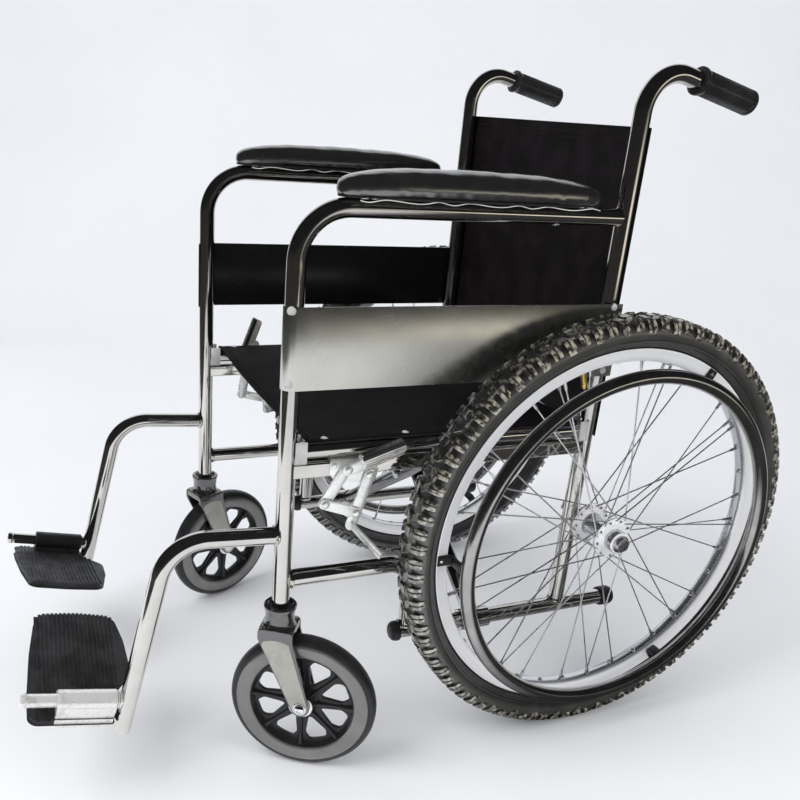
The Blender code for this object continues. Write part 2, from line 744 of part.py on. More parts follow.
def make_brace(name, side, y):
    """One scissor arm: a sleeve on its own side's bottom rail and the other side's seat rail."""
    foot = Vector((side * HALF_WIDTH, y, BOTTOM_Z))
    head = Vector((-side * HALF_WIDTH, y, SEAT_RAIL_Z))
    half = BRACE_SLEEVE_L / 2
    item = rod(name, foot, head, TUBE_R, TUBE_SIDES)
    sleeve = rod("sleeve", (foot.x, y - half, foot.z), (foot.x, y + half, foot.z), BRACE_SLEEVE_R, 16)
    rail_front = FRONT_Y + TUBE_R + RAIL_END_GAP
    rail_rear = POST_Y - TUBE_R - RAIL_END_GAP
    rail = rod("rail", (head.x, rail_front, head.z), (head.x, rail_rear, head.z), TUBE_R, TUBE_SIDES)
    item = join(item, sleeve)
    clearance = 0.001
    bar_in = HALF_WIDTH - BAR_SIZE / 2 - clearance
    edge = sorted((-side * bar_in, -side * (HALF_WIDTH + 0.03)))
    bar_top = BAR_Z + BAR_SIZE / 2 + clearance
    relief = block("relief", (edge[0], y - 0.03, BAR_Z - 0.05), (edge[1], y + 0.03, bar_top))
    item = join(cut(item, relief), rail)
    bore = rod("bore", (foot.x, y - 0.05, foot.z), (foot.x, y + 0.05, foot.z), TUBE_R + GAP, 16)
    middle_z = (BOTTOM_Z + SEAT_RAIL_Z) / 2
    hole = rod("hole", (0.0, y - 0.03, middle_z), (0.0, y + 0.03, middle_z), BRACE_BOLT_R + GAP, 16)
    return cut(item, bore, hole)


def make_brace_bolt(name):
    middle_z = (BOTTOM_Z + SEAT_RAIL_Z) / 2
    front = BRACE_Y - BRACE_PITCH / 2 - TUBE_R - GAP
    rear = BRACE_Y + BRACE_PITCH / 2 + TUBE_R + GAP
    item = rod(name, (0.0, front - 0.002, middle_z), (0.0, rear + 0.002, middle_z), BRACE_BOLT_R, 16)
    head = rod("head", (0.0, front - 0.005, middle_z), (0.0, front, middle_z), 0.0080, 12)
    nut = rod("nut", (0.0, rear, middle_z), (0.0, rear + 0.006, middle_z), 0.0075, 6)
    return join(item, head, nut)


def wrapped_line(radius, wrap, sag, steps=7):
    """Half of the line that cloth takes from the middle of a span over a round rail."""
    line = []
    for index in range(steps + 1):
        share = index / steps
        across = HALF_WIDTH * share
        line.append((across, radius - sag * (1 - share * share) ** 1.4))
    for index in range(1, 5):
        angle = wrap * index / 4
        line.append((HALF_WIDTH + radius * math.sin(angle), radius * math.cos(angle)))
    return line


def cloth(name, line, low, high, cuts, place, thickness):
    """A sheet along the line and its mirror image, from low to high, thickened outward."""
    full = [(-across, height) for across, height in reversed(line[1:])] + line
    bm = bmesh.new()
    rows = []
    for index in range(cuts + 1):
        share = low + (high - low) * index / cuts
        rows.append([bm.verts.new(place(across, height, share)) for across, height in full])
    for first, second in zip(rows, rows[1:]):
        for left in range(len(full) - 1):
            bm.faces.new((first[left], first[left + 1], second[left + 1], second[left]))
    item = from_bmesh(name, bm)
    shell = item.modifiers.new("thickness", "SOLIDIFY")
    shell.thickness = thickness
    shell.offset = 1.0
    return bake(item)


def make_sling(name):
    line = wrapped_line(TUBE_R + 2 * GAP, SLING_WRAP, SLING_SAG)
    front = FRONT_Y + TUBE_R + SADDLE_L + SLING_FRONT_GAP
    rear = POST_Y - TUBE_R - SADDLE_L - SLING_REAR_GAP

    def place(across, height, along):
        return (across, along, SEAT_RAIL_Z + height)

    return cloth(name, line, front, rear, 3, place, SLING_T)


def make_back(name):
    line = wrapped_line(TUBE_R + 2 * GAP, BACK_WRAP, -BACK_BOW)

    def place(across, height, along):
        return (across, POST_Y + height, along)

    item = cloth(name, line, BACK_LOW, BACK_HIGH, 3, place, -BACK_T)
    return item


# Rear wheels

def make_tyre(name):
    """A knobby tyre: a turned casing whose tread rings rise and fall in blocks."""
    bead = RIM_HALF_W - RIM_WALL - GAP
    well = RIM_R - RIM_WELL + GAP
    shoulder = WHEEL_R - SHOULDER_DROP
    half = [(well, bead), (RIM_R + 2 * GAP, bead), (RIM_R + SIDEWALL_H, TYRE_HALF_W), (shoulder, SHOULDER_HALF_W),
            (WHEEL_R, TREAD_HALF_W)]
    profile = half + [(radius, -x) for radius, x in reversed(half)]
    steps = KNOB_COUNT * 2
    item = turned_x(name, profile, steps)
    for vert in item.data.vertices:
        across = vert.co.x
        radius = math.hypot(vert.co.y, vert.co.z)
        if radius < shoulder - GAP:
            continue
        turn = math.atan2(vert.co.y, -vert.co.z) / (2 * math.pi) * steps
        odd = round(turn) % 2
        crown = abs(across) < (TREAD_HALF_W + SHOULDER_HALF_W) / 2
        low = odd if crown else 1 - odd
        if low:
            share = (radius - KNOB_HEIGHT) / radius
            vert.co.y *= share
            vert.co.z *= share
    return item


def make_rim(name):
    """A double-wall rim: a well for the tyre bead and a flat bed for the spoke nipples."""
    inner = RIM_HALF_W - RIM_WALL
    bed = RIM_BED_HALF_W
    profile = [(RIM_R, RIM_HALF_W), (RIM_INNER_R, bed), (RIM_INNER_R, -bed), (RIM_R, -RIM_HALF_W),
               (RIM_R, -inner), (RIM_R - RIM_WELL, -inner), (RIM_R - RIM_WELL, inner), (RIM_R, inner)]
    return turned_x(name, profile, RIM_STEPS)


def spoke_ends():
    """Hub end and rim end of each spoke, laced three-cross from both flanges."""
    ends = []
    per_flange = SPOKE_COUNT // 2
    pitch = 2 * math.pi / per_flange
    outer = RIM_INNER_R - 2 * GAP
    for index in range(SPOKE_COUNT):
        flange = 1 if index % 2 == 0 else -1
        order = index // 2
        lean = 1 if order % 2 == 0 else -1
        hub_angle = order * pitch + (0 if flange > 0 else pitch / 2)
        rim_angle = hub_angle + lean * SPOKE_CROSS * pitch * 0.93
        inset = FLANGE_R - 0.0035
        hub_x = flange * FLANGE_X + lean * 0.0030
        rim_x = flange * 0.0022 + lean * 0.0010
        start = Vector((hub_x, inset * math.sin(hub_angle), inset * math.cos(hub_angle)))
        end = Vector((rim_x, outer * math.sin(rim_angle), outer * math.cos(rim_angle)))
        ends.append((start, end))
    return ends


def make_spoked_hub(name):
    """The hub shell with both flanges, laced with its spokes."""
    half_t = FLANGE_T / 2 + 0.0012
    neck = HUB_R * 0.82
    profile = [(0.0125, -HUB_INNER_X), (0.0125, -FLANGE_X - half_t), (FLANGE_R, -FLANGE_X - half_t),
               (FLANGE_R, -FLANGE_X + half_t), (neck, -FLANGE_X + half_t + 0.004),
               (neck, FLANGE_X - half_t - 0.004), (FLANGE_R, FLANGE_X - half_t),
               (FLANGE_R, FLANGE_X + half_t), (0.0150, FLANGE_X + half_t + 0.002),
               (0.0150, HUB_OUTER_X - 0.002), (0.0135, HUB_OUTER_X),
               (AXLE_R + GAP, HUB_OUTER_X), (AXLE_R + GAP, -HUB_INNER_X)]
    hub = turned_x(name, profile, 16)
    bm = bmesh.new()
    for start, end in spoke_ends():
        along = end - start
        turn = along.to_track_quat("Z", "Y").to_matrix().to_4x4()
        matrix = Matrix.Translation((start + end) / 2) @ turn
        bmesh.ops.create_cone(bm, cap_ends=True, segments=4, radius1=SPOKE_R, radius2=SPOKE_R,
                              depth=along.length, matrix=matrix)
    spokes = from_bmesh("spokes", bm)
    return join(hub, spokes)


def make_handrim(name, side):
    """The push rim, with the tabs that stand it off the wheel rim."""
    stand_off = HANDRIM_STAND_OFF
    ring = []
    for index in range(8):
        angle = 2 * math.pi * index / 8
        ring.append((HANDRIM_R + HANDRIM_TUBE_R * math.cos(angle), stand_off + HANDRIM_TUBE_R * math.sin(angle)))
    item = turned_x(name, ring, HANDRIM_STEPS)
    foot_x = RIM_HALF_W + GAP
    for index in range(HANDRIM_TABS):
        angle = -TAB_FIRST - 2 * math.pi * index / HANDRIM_TABS
        arm = block("tab", (foot_x, -TAB_W / 2, HANDRIM_R + 0.0035), (stand_off, TAB_W / 2, HANDRIM_R + 0.0035 + TAB_T))
        foot = block("foot", (foot_x, -TAB_W / 2, HANDRIM_R + 0.0040),
                     (foot_x + TAB_T, TAB_W / 2, RIM_R - 0.002))
        turn = Matrix.Rotation(angle, 4, "X")
        item = join(item, moved(join(arm, foot), turn))
    return mirrored(item) if side < 0 else item


def mirrored(item):
    item.data.transform(Matrix.Scale(-1.0, 4, (1, 0, 0)))
    item.data.flip_normals()
    return item


def make_axle(name, side):
    """The wheel bolt: head inside the frame, nut and cap outside the hub."""
    bush_in = HALF_WIDTH - (AXLE_BUSH_L - TUBE_R)
    inner = bush_in - GAP - AXLE_HEAD_T
    outer = WHEEL_X + HUB_OUTER_X
    item = x_rod(name, side * (inner + 0.001), side * (outer + 0.006), AXLE_Y, AXLE_Z, AXLE_R, 12)
    head = x_rod("head", side * inner, side * (bush_in - GAP), AXLE_Y, AXLE_Z, AXLE_HEAD_R, 6)
    nut = x_rod("nut", side * (outer + GAP), side * (outer + 0.0075), AXLE_Y, AXLE_Z, 0.0100, 12)
    collar_in = HALF_WIDTH + TUBE_R + GAP
    collar_out = WHEEL_X - HUB_INNER_X - GAP
    collar = x_rod("collar", side * collar_in, side * collar_out, AXLE_Y, AXLE_Z, 0.0100, 12)
    return join(item, head, nut, collar)


# Casters, built about the swivel axis with the wheel trailing along +Y

def caster_axle_height(side_name):
    y = FRONT_Y + CASTER_TRAIL * math.cos(SWIVEL[side_name])
    return frame_height(y, CASTER_R)


def make_fork(name, axle_z):
    """Socket, crown and two legs that taper down to the axle."""
    leg_in = FORK_LEG_X
    leg_out = FORK_LEG_X + FORK_LEG_T
    top = CROWN_LOW + CROWN_T
    half = FORK_TOP_W / 2
    outline = leg_outline(axle_z, top, half)
    left = plate(name, outline, leg_in, leg_out)
    right = plate("leg", outline, -leg_out, -leg_in)
    crown = block("crown", (-leg_out + 0.0002, -half + 0.0003, CROWN_LOW), (leg_out - 0.0002, half - 0.0003, top - 0.0002))
    socket = rod("socket", (0, 0, top - 0.004), (0, 0, SOCKET_TOP), SOCKET_R, 20)
    item = join(left, crown, right, socket)
    bore = rod("bore", (0, 0, FRONT_FOOT_Z - 0.002), (0, 0, SOCKET_TOP + 0.01), SOCKET_BORE_R, 16)
    hole = x_rod("hole", -0.05, 0.05, CASTER_TRAIL, axle_z, CASTER_AXLE_R + GAP, 16)
    return cut(item, bore, hole)


def leg_outline(axle_z, top, half):
    centre = Vector((CASTER_TRAIL, axle_z))
    outline = [(-half, top), (-half, CROWN_LOW - 0.004)]
    start = math.atan2(CROWN_LOW - axle_z, -half - CASTER_TRAIL) + math.pi / 2 - 0.12
    end = start + math.radians(172.0)
    for index in range(9):
        angle = start + (end - start) * index / 8
        outline.append((centre.x + FORK_END_R * math.cos(angle), centre.y + FORK_END_R * math.sin(angle)))
    outline += [(half, CROWN_LOW - 0.004), (half, top)]
    return outline


def make_caster_wheel(name):
    """Solid tyre on a plastic centre with teardrop windows."""
    rim = CASTER_RIM_R
    half = CASTER_HALF_W
    web = CASTER_WEB_T / 2
    outer = [(CASTER_R, 0.0050), (CASTER_R - 0.0050, 0.0108), (CASTER_R - 0.014, half), (rim, half - 0.001),
             (rim - 0.004, web),
             (0.0190, web), (CASTER_HUB_R, CASTER_HUB_HALF_W), (CASTER_AXLE_R + GAP, CASTER_HUB_HALF_W)]
    profile = outer + [(radius, -x) for radius, x in reversed(outer)]
    item = turned_x(name, profile, 32)
    return cut(item, *[window(index) for index in range(CASTER_WINDOWS)])


def window(index):
    """One teardrop cutter, wide toward the rim."""
    angle = 2 * math.pi * (index + 0.5) / CASTER_WINDOWS
    outer_r = 0.0130
    centre = 0.0495
    tip = 0.0240
    outline = [(0.0, tip)]
    for step in range(6):
        turn = math.radians(-22.0 + 224.0 * step / 5)
        outline.append((outer_r * math.cos(turn), centre + outer_r * math.sin(turn)))
    cutter = plate("window", outline, -0.02, 0.02)
    return moved(cutter, Matrix.Rotation(angle, 4, "X"))


def make_caster_axle(name, axle_z):
    reach = FORK_LEG_X + FORK_LEG_T
    item = x_rod(name, -reach - 0.003, reach + 0.003, CASTER_TRAIL, axle_z, CASTER_AXLE_R, 16)
    head = x_rod("head", -reach - 0.0045, -reach - GAP, CASTER_TRAIL, axle_z, CASTER_NUT_R, 12)
    nut = x_rod("nut", reach + GAP, reach + 0.0055, CASTER_TRAIL, axle_z, CASTER_NUT_R, 6)
    return join(item, head, nut)


def make_caster_bearing(name, x):
    """The bush between the upright tube and the fork socket."""
    inner = TUBE_R + GAP
    outer = SOCKET_BORE_R - GAP
    low = FRONT_FOOT_Z + 0.001
    high = SOCKET_TOP - 0.0015
    item = turned(name, [(outer, high), (outer, low), (inner, low), (inner, high)], 16)
    return moved(item, Matrix.Translation((x, FRONT_Y, 0.0)))


# Brakes

def arm_end(pivot, angle, length=BRAKE_ARM_L):
    """The far end of an arm that hangs from a pivot, angle measured forward from straight down."""
    return (pivot[0] - length * math.sin(angle), pivot[1] - length * math.cos(angle))


def bar_outline(start, end, width, steps=4):
    """A flat bar with round ends."""
    start = Vector(start)
    end = Vector(end)
    along = (end - start).normalized()
    heading = math.atan2(along.y, along.x)
    outline = []
    for centre, base in ((end, heading - math.pi / 2), (start, heading + math.pi / 2)):
        for index in range(steps + 1):
            angle = base + math.pi * index / steps
            outline.append((centre.x + width / 2 * math.cos(angle), centre.y + width / 2 * math.sin(angle)))
    return outline


def layer(side, level):
    """The two x limits of one layer of the brake, counted outward from the mounting plate."""
    low = BRAKE_PLATE_X + level * (BRAKE_LAYER_T + GAP)
    return sorted((side * low, side * (low + BRAKE_LAYER_T)))


def brake_pin(side, place, first, last, radius=BRAKE_PIN_R):
    low = BRAKE_PLATE_X + first * (BRAKE_LAYER_T + GAP) + 0.0005
    high = BRAKE_PLATE_X + (last + 1) * (BRAKE_LAYER_T + GAP)
    shank = x_rod("pin", side * low, side * (high + 0.0004), place[0], place[1], radius, 8)
    head = x_rod("head", side * high, side * (high + BRAKE_HEAD_T), place[0], place[1], BRAKE_HEAD_R, 8)
    return join(shank, head)


def pin_hole(side, place, extra=0.0):
    near, far = side * (HALF_WIDTH - 0.01), side * (HALF_WIDTH + 0.05)
    return x_rod("hole", near, far, place[0], place[1], BRAKE_PIN_R + GAP + extra, 12)


def make_brake_plate(name, side):
    """The bracket that hooks over the bar and carries both fixed pivots."""
    top = BAR_Z + BAR_SIZE / 2 + 0.0022
    y1, z1 = BRAKE_P1
    y4, z4 = BRAKE_P4
    outline = [(y1 - 0.021, top), (y1 - 0.021, z1 - 0.0080), (y1 - 0.007, z1 - 0.0150), (y4 - 0.010, z4 - 0.0120),
               (y4 + 0.008, z4 - 0.0110), (y4 + 0.012, z4 + 0.0060), (y4 - 0.004, top)]
    limits = layer(side, 0)
    item = plate(name, rounded_outline(outline, 0.002, 1), limits[0], limits[1])
    flange_low = BAR_Z + BAR_SIZE / 2 + GAP
    edge = sorted((side * (HALF_WIDTH - 0.007), side * (BRAKE_PLATE_X + 0.001)))
    flange = block("flange", (edge[0], y1 - 0.019, flange_low), (edge[1], y4 - 0.006, flange_low + 0.0018))
    item = join(item, flange, brake_pin(side, BRAKE_P1, 0, 3), brake_pin(side, BRAKE_P4, 0, 1))
    return item


def make_front_arm(name, side, state):
    end = arm_end(BRAKE_P1, FRONT_ARM_FREE - ARM_TRAVEL * state)
    limits = layer(side, 1)
    item = plate(name, bar_outline(BRAKE_P1, end, BRAKE_ARM_W), limits[0], limits[1])
    item = join(item, brake_pin(side, end, 1, 2))
    return cut(item, pin_hole(side, BRAKE_P1))


def link_ends(state):
    """Both pivots of the link: on the front arm's pin, and in its loose hole over the shoe arm's."""
    start = Vector(arm_end(BRAKE_P1, FRONT_ARM_FREE - ARM_TRAVEL * state))
    knee = Vector(arm_end(BRAKE_P4, SHOE_ARM_FREE - ARM_TRAVEL * state))
    end = start + (knee - start).normalized() * BRAKE_LINK_L
    return start, end


def make_link(name, side, state):
    start, end = link_ends(state)
    limits = layer(side, 2)
    item = plate(name, bar_outline(start, end, BRAKE_ARM_W * 0.88), limits[0], limits[1])
    return cut(item, pin_hole(side, start), pin_hole(side, end, 0.0006))


def make_shoe_arm(name, side, state):
    """The arm that swings a bent strip against the tyre tread."""
    angle = SHOE_ARM_FREE - ARM_TRAVEL * state
    knee = arm_end(BRAKE_P4, angle)
    toe = arm_end(BRAKE_P4, angle, SHOE_DROP)
    limits = layer(side, 1)
    item = plate(name, bar_outline(BRAKE_P4, toe, BRAKE_ARM_W), limits[0], limits[1])
    item = join(item, shoe_strip(side, state), brake_pin(side, knee, 1, 2))
    return cut(item, pin_hole(side, BRAKE_P4))


def shoe_strip(side, state):
    """The strip that leaves the foot of the arm outward, rearward and down, across the tyre."""
    toe = arm_end(BRAKE_P4, SHOE_ARM_FREE, SHOE_DROP)
    low_x = BRAKE_PLATE_X + BRAKE_LAYER_T + GAP
    start = Vector((side * low_x, toe[0], toe[1]))
    end = start + Vector((side * SHOE_REACH_X, SHOE_REACH_Y, SHOE_REACH_Z))
    along = end - start
    width_way = Vector((0.0, -math.sin(0.2), math.cos(0.2)))
    normal = along.cross(width_way).normalized()
    across = normal.cross(along).normalized()
    basis = Matrix((along.normalized(), across, normal)).transposed().to_4x4()
    item = block("strip", (0.0, -SHOE_W / 2, -SHOE_T / 2), (along.length, SHOE_W / 2, SHOE_T / 2))
    item = moved(item, Matrix.Translation(start) @ basis)
    hinge = Matrix.Translation((0.0, BRAKE_P4[0], BRAKE_P4[1]))
    swing = hinge @ Matrix.Rotation(ARM_TRAVEL * state, 4, "X") @ hinge.inverted()
    return moved(item, swing)


def make_brake_handle(name, side, state):
    """The hand lever: a flat shank under a ribbed grip."""
    angle = HANDLE_FREE + HANDLE_TRAVEL * state
    limits = layer(side, 3)
    pivot = Vector(BRAKE_P1)
    along = Vector((math.cos(angle), math.sin(angle)))
    shank_end = pivot + along * (BRAKE_GRIP_START + 0.01)
    item = plate(name, bar_outline(pivot, shank_end, BRAKE_ARM_W), limits[0], limits[1])
    grip_in = abs(limits[0] if side > 0 else limits[1]) - 0.0004
    edge = sorted((side * grip_in, side * (grip_in + BRAKE_GRIP_W)))
    half = BRAKE_GRIP_H / 2
    grip = block("grip", (edge[0], BRAKE_GRIP_START, -half), (edge[1], BRAKE_GRIP_START + BRAKE_GRIP_L, half), 0.0035)
    turn = Matrix.Translation((0.0, pivot.x, pivot.y)) @ Matrix.Rotation(angle, 4, "X")
    item = join(item, moved(grip, turn))
    return cut(item, pin_hole(side, BRAKE_P1))


# Assembly

def build_side(side_name, frame, carrier):
    """All that stands on one side frame, hung on the carrier that folds with it."""
    side = SIDES[side_name]
    x = side * HALF_WIDTH
    carrier.carry(make_front_tube(f"front_tube_{side_name}", x), "frame_paint")
    carrier.carry(make_rear_post(f"rear_post_{side_name}", x, side), "frame_paint")
    carrier.carry(make_lower_rail(f"lower_rail_{side_name}", x), "frame_paint")
    carrier.carry(make_bottom_rail(f"bottom_rail_{side_name}", x), "frame_paint")
    carrier.carry(make_rear_cap(f"rear_cap_{side_name}", x), "black_rubber")
    carrier.carry(make_brake_bar(f"side_bar_{side_name}", x), "bar_paint")
    carrier.carry(make_hanger(f"footrest_hanger_{side_name}", x), "frame_paint")
    carrier.carry(make_saddle(f"front_saddle_{side_name}", x, FRONT_Y, 1), "white_nylon")
    carrier.carry(make_saddle(f"rear_saddle_{side_name}", x, POST_Y, -1), "white_nylon")
    carrier.carry(make_grip(f"push_grip_{side_name}", x), "black_rubber")
    carrier.carry(make_guard(f"skirt_guard_{side_name}", side), "frame_paint")
    carrier.carry(make_pad(f"armrest_pad_{side_name}", x), "pad_vinyl")
    carrier.carry(make_axle(f"wheel_axle_{side_name}", side), "zinc")
    carrier.carry(make_caster_bearing(f"caster_bearing_{side_name}", x), "black_plastic")
    build_wheel(side_name, side, carrier)
    build_caster(side_name, x, carrier)
    build_footplate(side_name, side, x, carrier)
    build_brake(side_name, side, carrier)


def build_wheel(side_name, side, carrier):
    place = (side * WHEEL_X, AXLE_Y, AXLE_Z)
    wheel = Pivot(f"wheel_roll_{side_name}", place, carrier)
    parts = (("tyre", make_tyre(f"tyre_{side_name}"), "black_rubber"),
             ("rim", make_rim(f"wheel_rim_{side_name}"), "chrome"),
             ("hub", make_spoked_hub(f"spoked_hub_{side_name}"), "chrome"))
    for kind, item, finish in parts:
        if side < 0 and kind == "hub":
            item = mirrored(item)
        wheel.carry(item, finish, local=True)
    wheel.carry(make_handrim(f"handrim_{side_name}", side), "black_plastic", local=True)


def build_caster(side_name, x, carrier):
    axle_z = caster_axle_height(side_name)
    swivel = Pivot(f"caster_swivel_{side_name}", (x, FRONT_Y, 0.0), carrier, (0.0, 0.0, SWIVEL[side_name]))
    swivel.carry(make_fork(f"caster_fork_{side_name}", axle_z), "black_plastic", local=True)
    swivel.carry(make_caster_axle(f"caster_axle_{side_name}", axle_z), "zinc", local=True)
    roll = Pivot(f"caster_roll_{side_name}", (0.0, CASTER_TRAIL, axle_z))
    roll.empty.parent = swivel.empty
    roll.carry(make_caster_wheel(f"caster_wheel_{side_name}"), "black_rubber", local=True)


def build_footplate(side_name, side, x, carrier):
    _, _, pin_y = hanger_foot()
    hinge = Pivot(f"footplate_flip_{side_name}", (x, pin_y, PIN_Z), carrier, (-PIN_RISE, 0.0, 0.0))
    leaf = Pivot(f"footplate_leaf_{side_name}", (0.0, 0.0, 0.0), None, (0.0, side * FOOT_TILT, 0.0))
    leaf.empty.parent = hinge.empty
    finish = "cast_silver" if side > 0 else "black_plastic"
    leaf.carry(make_footplate(f"footplate_{side_name}", side), finish, local=True)


def build_brake(side_name, side, carrier):
    """The left brake is off and the right one is on, as they stand on the chair."""
    state = 0.0 if side > 0 else 1.0
    carrier.carry(make_brake_plate(f"brake_plate_{side_name}", side), "zinc")
    first = Pivot(f"brake_lever_{side_name}", (0.0, *BRAKE_P1), carrier)
    first.carry(make_brake_handle(f"brake_handle_{side_name}", side, state), "black_plastic")
    first.carry(make_front_arm(f"brake_front_arm_{side_name}", side, state), "zinc")
    shoe = Pivot(f"brake_shoe_{side_name}", (0.0, *BRAKE_P4), carrier)
    shoe.carry(make_shoe_arm(f"brake_shoe_arm_{side_name}", side, state), "zinc")
    start, _ = link_ends(state)
    link = Pivot(f"brake_link_pivot_{side_name}", (0.0, *start), carrier)
    link.carry(make_link(f"brake_link_{side_name}", side, state), "zinc")


def build():
    frame = Pivot("frame_slope", (0.0, 0.0, 0.0), None, (-FRAME_PITCH, 0.0, 0.0))
    axle = Vector((0.0, AXLE_Y, AXLE_Z))
    frame.empty.location = axle - Matrix.Rotation(-FRAME_PITCH, 3, "X") @ axle
    middle_z = (BOTTOM_Z + SEAT_RAIL_Z) / 2
    rear_y = BRACE_Y + BRACE_PITCH / 2
    front_y = BRACE_Y - BRACE_PITCH / 2
    left_root = Pivot("left_side", (HALF_WIDTH, BRACE_Y, BOTTOM_Z), frame)
    centre = Pivot("brace_centre", (0.0, BRACE_Y, middle_z), frame)
    right_root = Pivot("right_side", (-HALF_WIDTH, BRACE_Y, BOTTOM_Z), frame)
    build_side("left", frame, left_root)
    build_side("right", frame, right_root)
    left_root.carry(make_brace("brace_arm_a", 1, rear_y), "frame_paint")
    centre.carry(make_brace("brace_arm_b", -1, front_y), "frame_paint")
    centre.carry(make_brace_bolt("brace_bolt"), "zinc")
    centre.carry(make_sling("seat_sling"), "black_fabric")
    left_root.carry(make_back("back_upholstery"), "black_fabric")


build()
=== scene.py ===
"""Looks for the folding steel wheelchair: camera, light, and a detailed piece on each CAD body."""
import math

import bmesh
import bpy
import numpy as np
from mathutils import Matrix, Vector


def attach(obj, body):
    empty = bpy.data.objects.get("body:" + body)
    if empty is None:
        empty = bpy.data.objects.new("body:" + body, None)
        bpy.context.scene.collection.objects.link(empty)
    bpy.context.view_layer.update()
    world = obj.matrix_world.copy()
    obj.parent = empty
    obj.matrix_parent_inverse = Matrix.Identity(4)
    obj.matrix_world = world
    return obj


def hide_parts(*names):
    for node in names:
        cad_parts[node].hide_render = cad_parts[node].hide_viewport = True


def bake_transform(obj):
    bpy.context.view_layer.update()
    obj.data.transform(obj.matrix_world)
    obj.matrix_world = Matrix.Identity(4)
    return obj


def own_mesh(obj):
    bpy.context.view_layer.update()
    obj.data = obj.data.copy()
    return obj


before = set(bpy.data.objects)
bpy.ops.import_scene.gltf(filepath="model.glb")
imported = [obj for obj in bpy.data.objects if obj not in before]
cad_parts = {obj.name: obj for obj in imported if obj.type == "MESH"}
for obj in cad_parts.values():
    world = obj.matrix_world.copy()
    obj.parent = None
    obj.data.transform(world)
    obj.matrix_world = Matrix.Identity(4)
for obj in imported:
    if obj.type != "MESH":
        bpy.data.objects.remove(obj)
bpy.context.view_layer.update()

# Shared sizes, the same values as in the CAD source
GAP = 0.0003
TUBE_R = 0.011
HALF_WIDTH = 0.210
PITCH = math.radians(1.2)
AXLE = Vector((0.0, 0.2262, 0.301))
WHEEL_X = 0.261
RIM_HALF_W = 0.0138
HANDRIM_R = 0.2343
HANDRIM_X = 0.3094
HANDRIM_TUBE_R = 0.0095
FRONT_Y = -0.214
POST_Y = 0.212
ARM_Z = 0.712
LOW_Z = 0.2612
LOW_DROP_Y = -0.0333
BOTTOM_Z = 0.156
BOTTOM_FRONT_Y = -0.0449
BOTTOM_REAR_Y = 0.304
BAR_Z = 0.409
SEAT_RAIL_Z = 0.4325
HANGER_Z = 0.3235
HANGER_CORNER_Y = -0.3530
HANGER_LEAN = math.radians(13.4)
HANGER_FOOT_Z = 0.0800
PIN_RISE = math.radians(11.8)
PIN_Z = 0.1225
FOOT_TILT = math.radians(11.4)
HANDLE_TOP_Z = 0.8915
HANDLE_SLOPE = math.radians(12.0)
GRIP_START = 0.0746
BRACE_Y = 0.0595
BRACE_PITCH = 0.0245
CASTER_R = 0.097
CASTER_TRAIL = 0.0367
SWIVEL = {"left": math.radians(-33.0), "right": math.radians(21.4)}
SIDES = {"left": 1.0, "right": -1.0}
CROWN_LOW = 0.188
CROWN_HIGH = 0.199
SOCKET_TOP = 0.227
SOCKET_R = 0.0212
SOCKET_BORE_R = 0.0152
FORK_LEG_X = 0.0166
FORK_LEG_T = 0.0052
FORK_TOP_W = 0.046
FORK_END_R = 0.0125
BRAKE_P1 = (-0.143, 0.411)
BRAKE_P4 = (-0.112, 0.400)
BRAKE_ARM_L = 0.0515
BRAKE_LINK_L = 0.0449
BRAKE_PLATE_X = 0.2198
BRAKE_ARM_W = 0.015
ARM_TRAVEL = math.radians(22.0)

# Sizes of the fine detail
TUBE_SIDES = 32
KNOBS = 92
SPOKES = 36
WHEEL_STEPS = 240
VALVE_ANGLE = math.radians(-17.2)
FLANGE_X = 0.0240
FLANGE_R = 0.0290
FLANGE_T = 0.0016
HANDRIM_STRAPS = 3
WEB_WINDOWS = 8
CLOTH_ROWS = 84
WRAP_STEPS = 9
SEAT_FRONT, SEAT_REAR = -0.1925, 0.1905
BACK_LOW, BACK_HIGH = 0.424, 0.818
SLING_SCREWS = (-0.169, -0.062, 0.045, 0.152)
PAD_FRAMES = 20
PAD_BELT = 0.0115
PAD_FRONT_Y = -0.174
PAD_REAR_Y = 0.169
FRONT_ARM_ANGLE = math.radians(30.6)
SHOE_ARM_ANGLE = math.radians(17.0)
LAYER = 0.0028
SHEET = 0.0025

slope = Matrix.Translation(AXLE) @ Matrix.Rotation(-PITCH, 4, "X") @ Matrix.Translation(-AXLE)
MIRROR = Matrix.Scale(-1.0, 4, (1, 0, 0))


# Materials

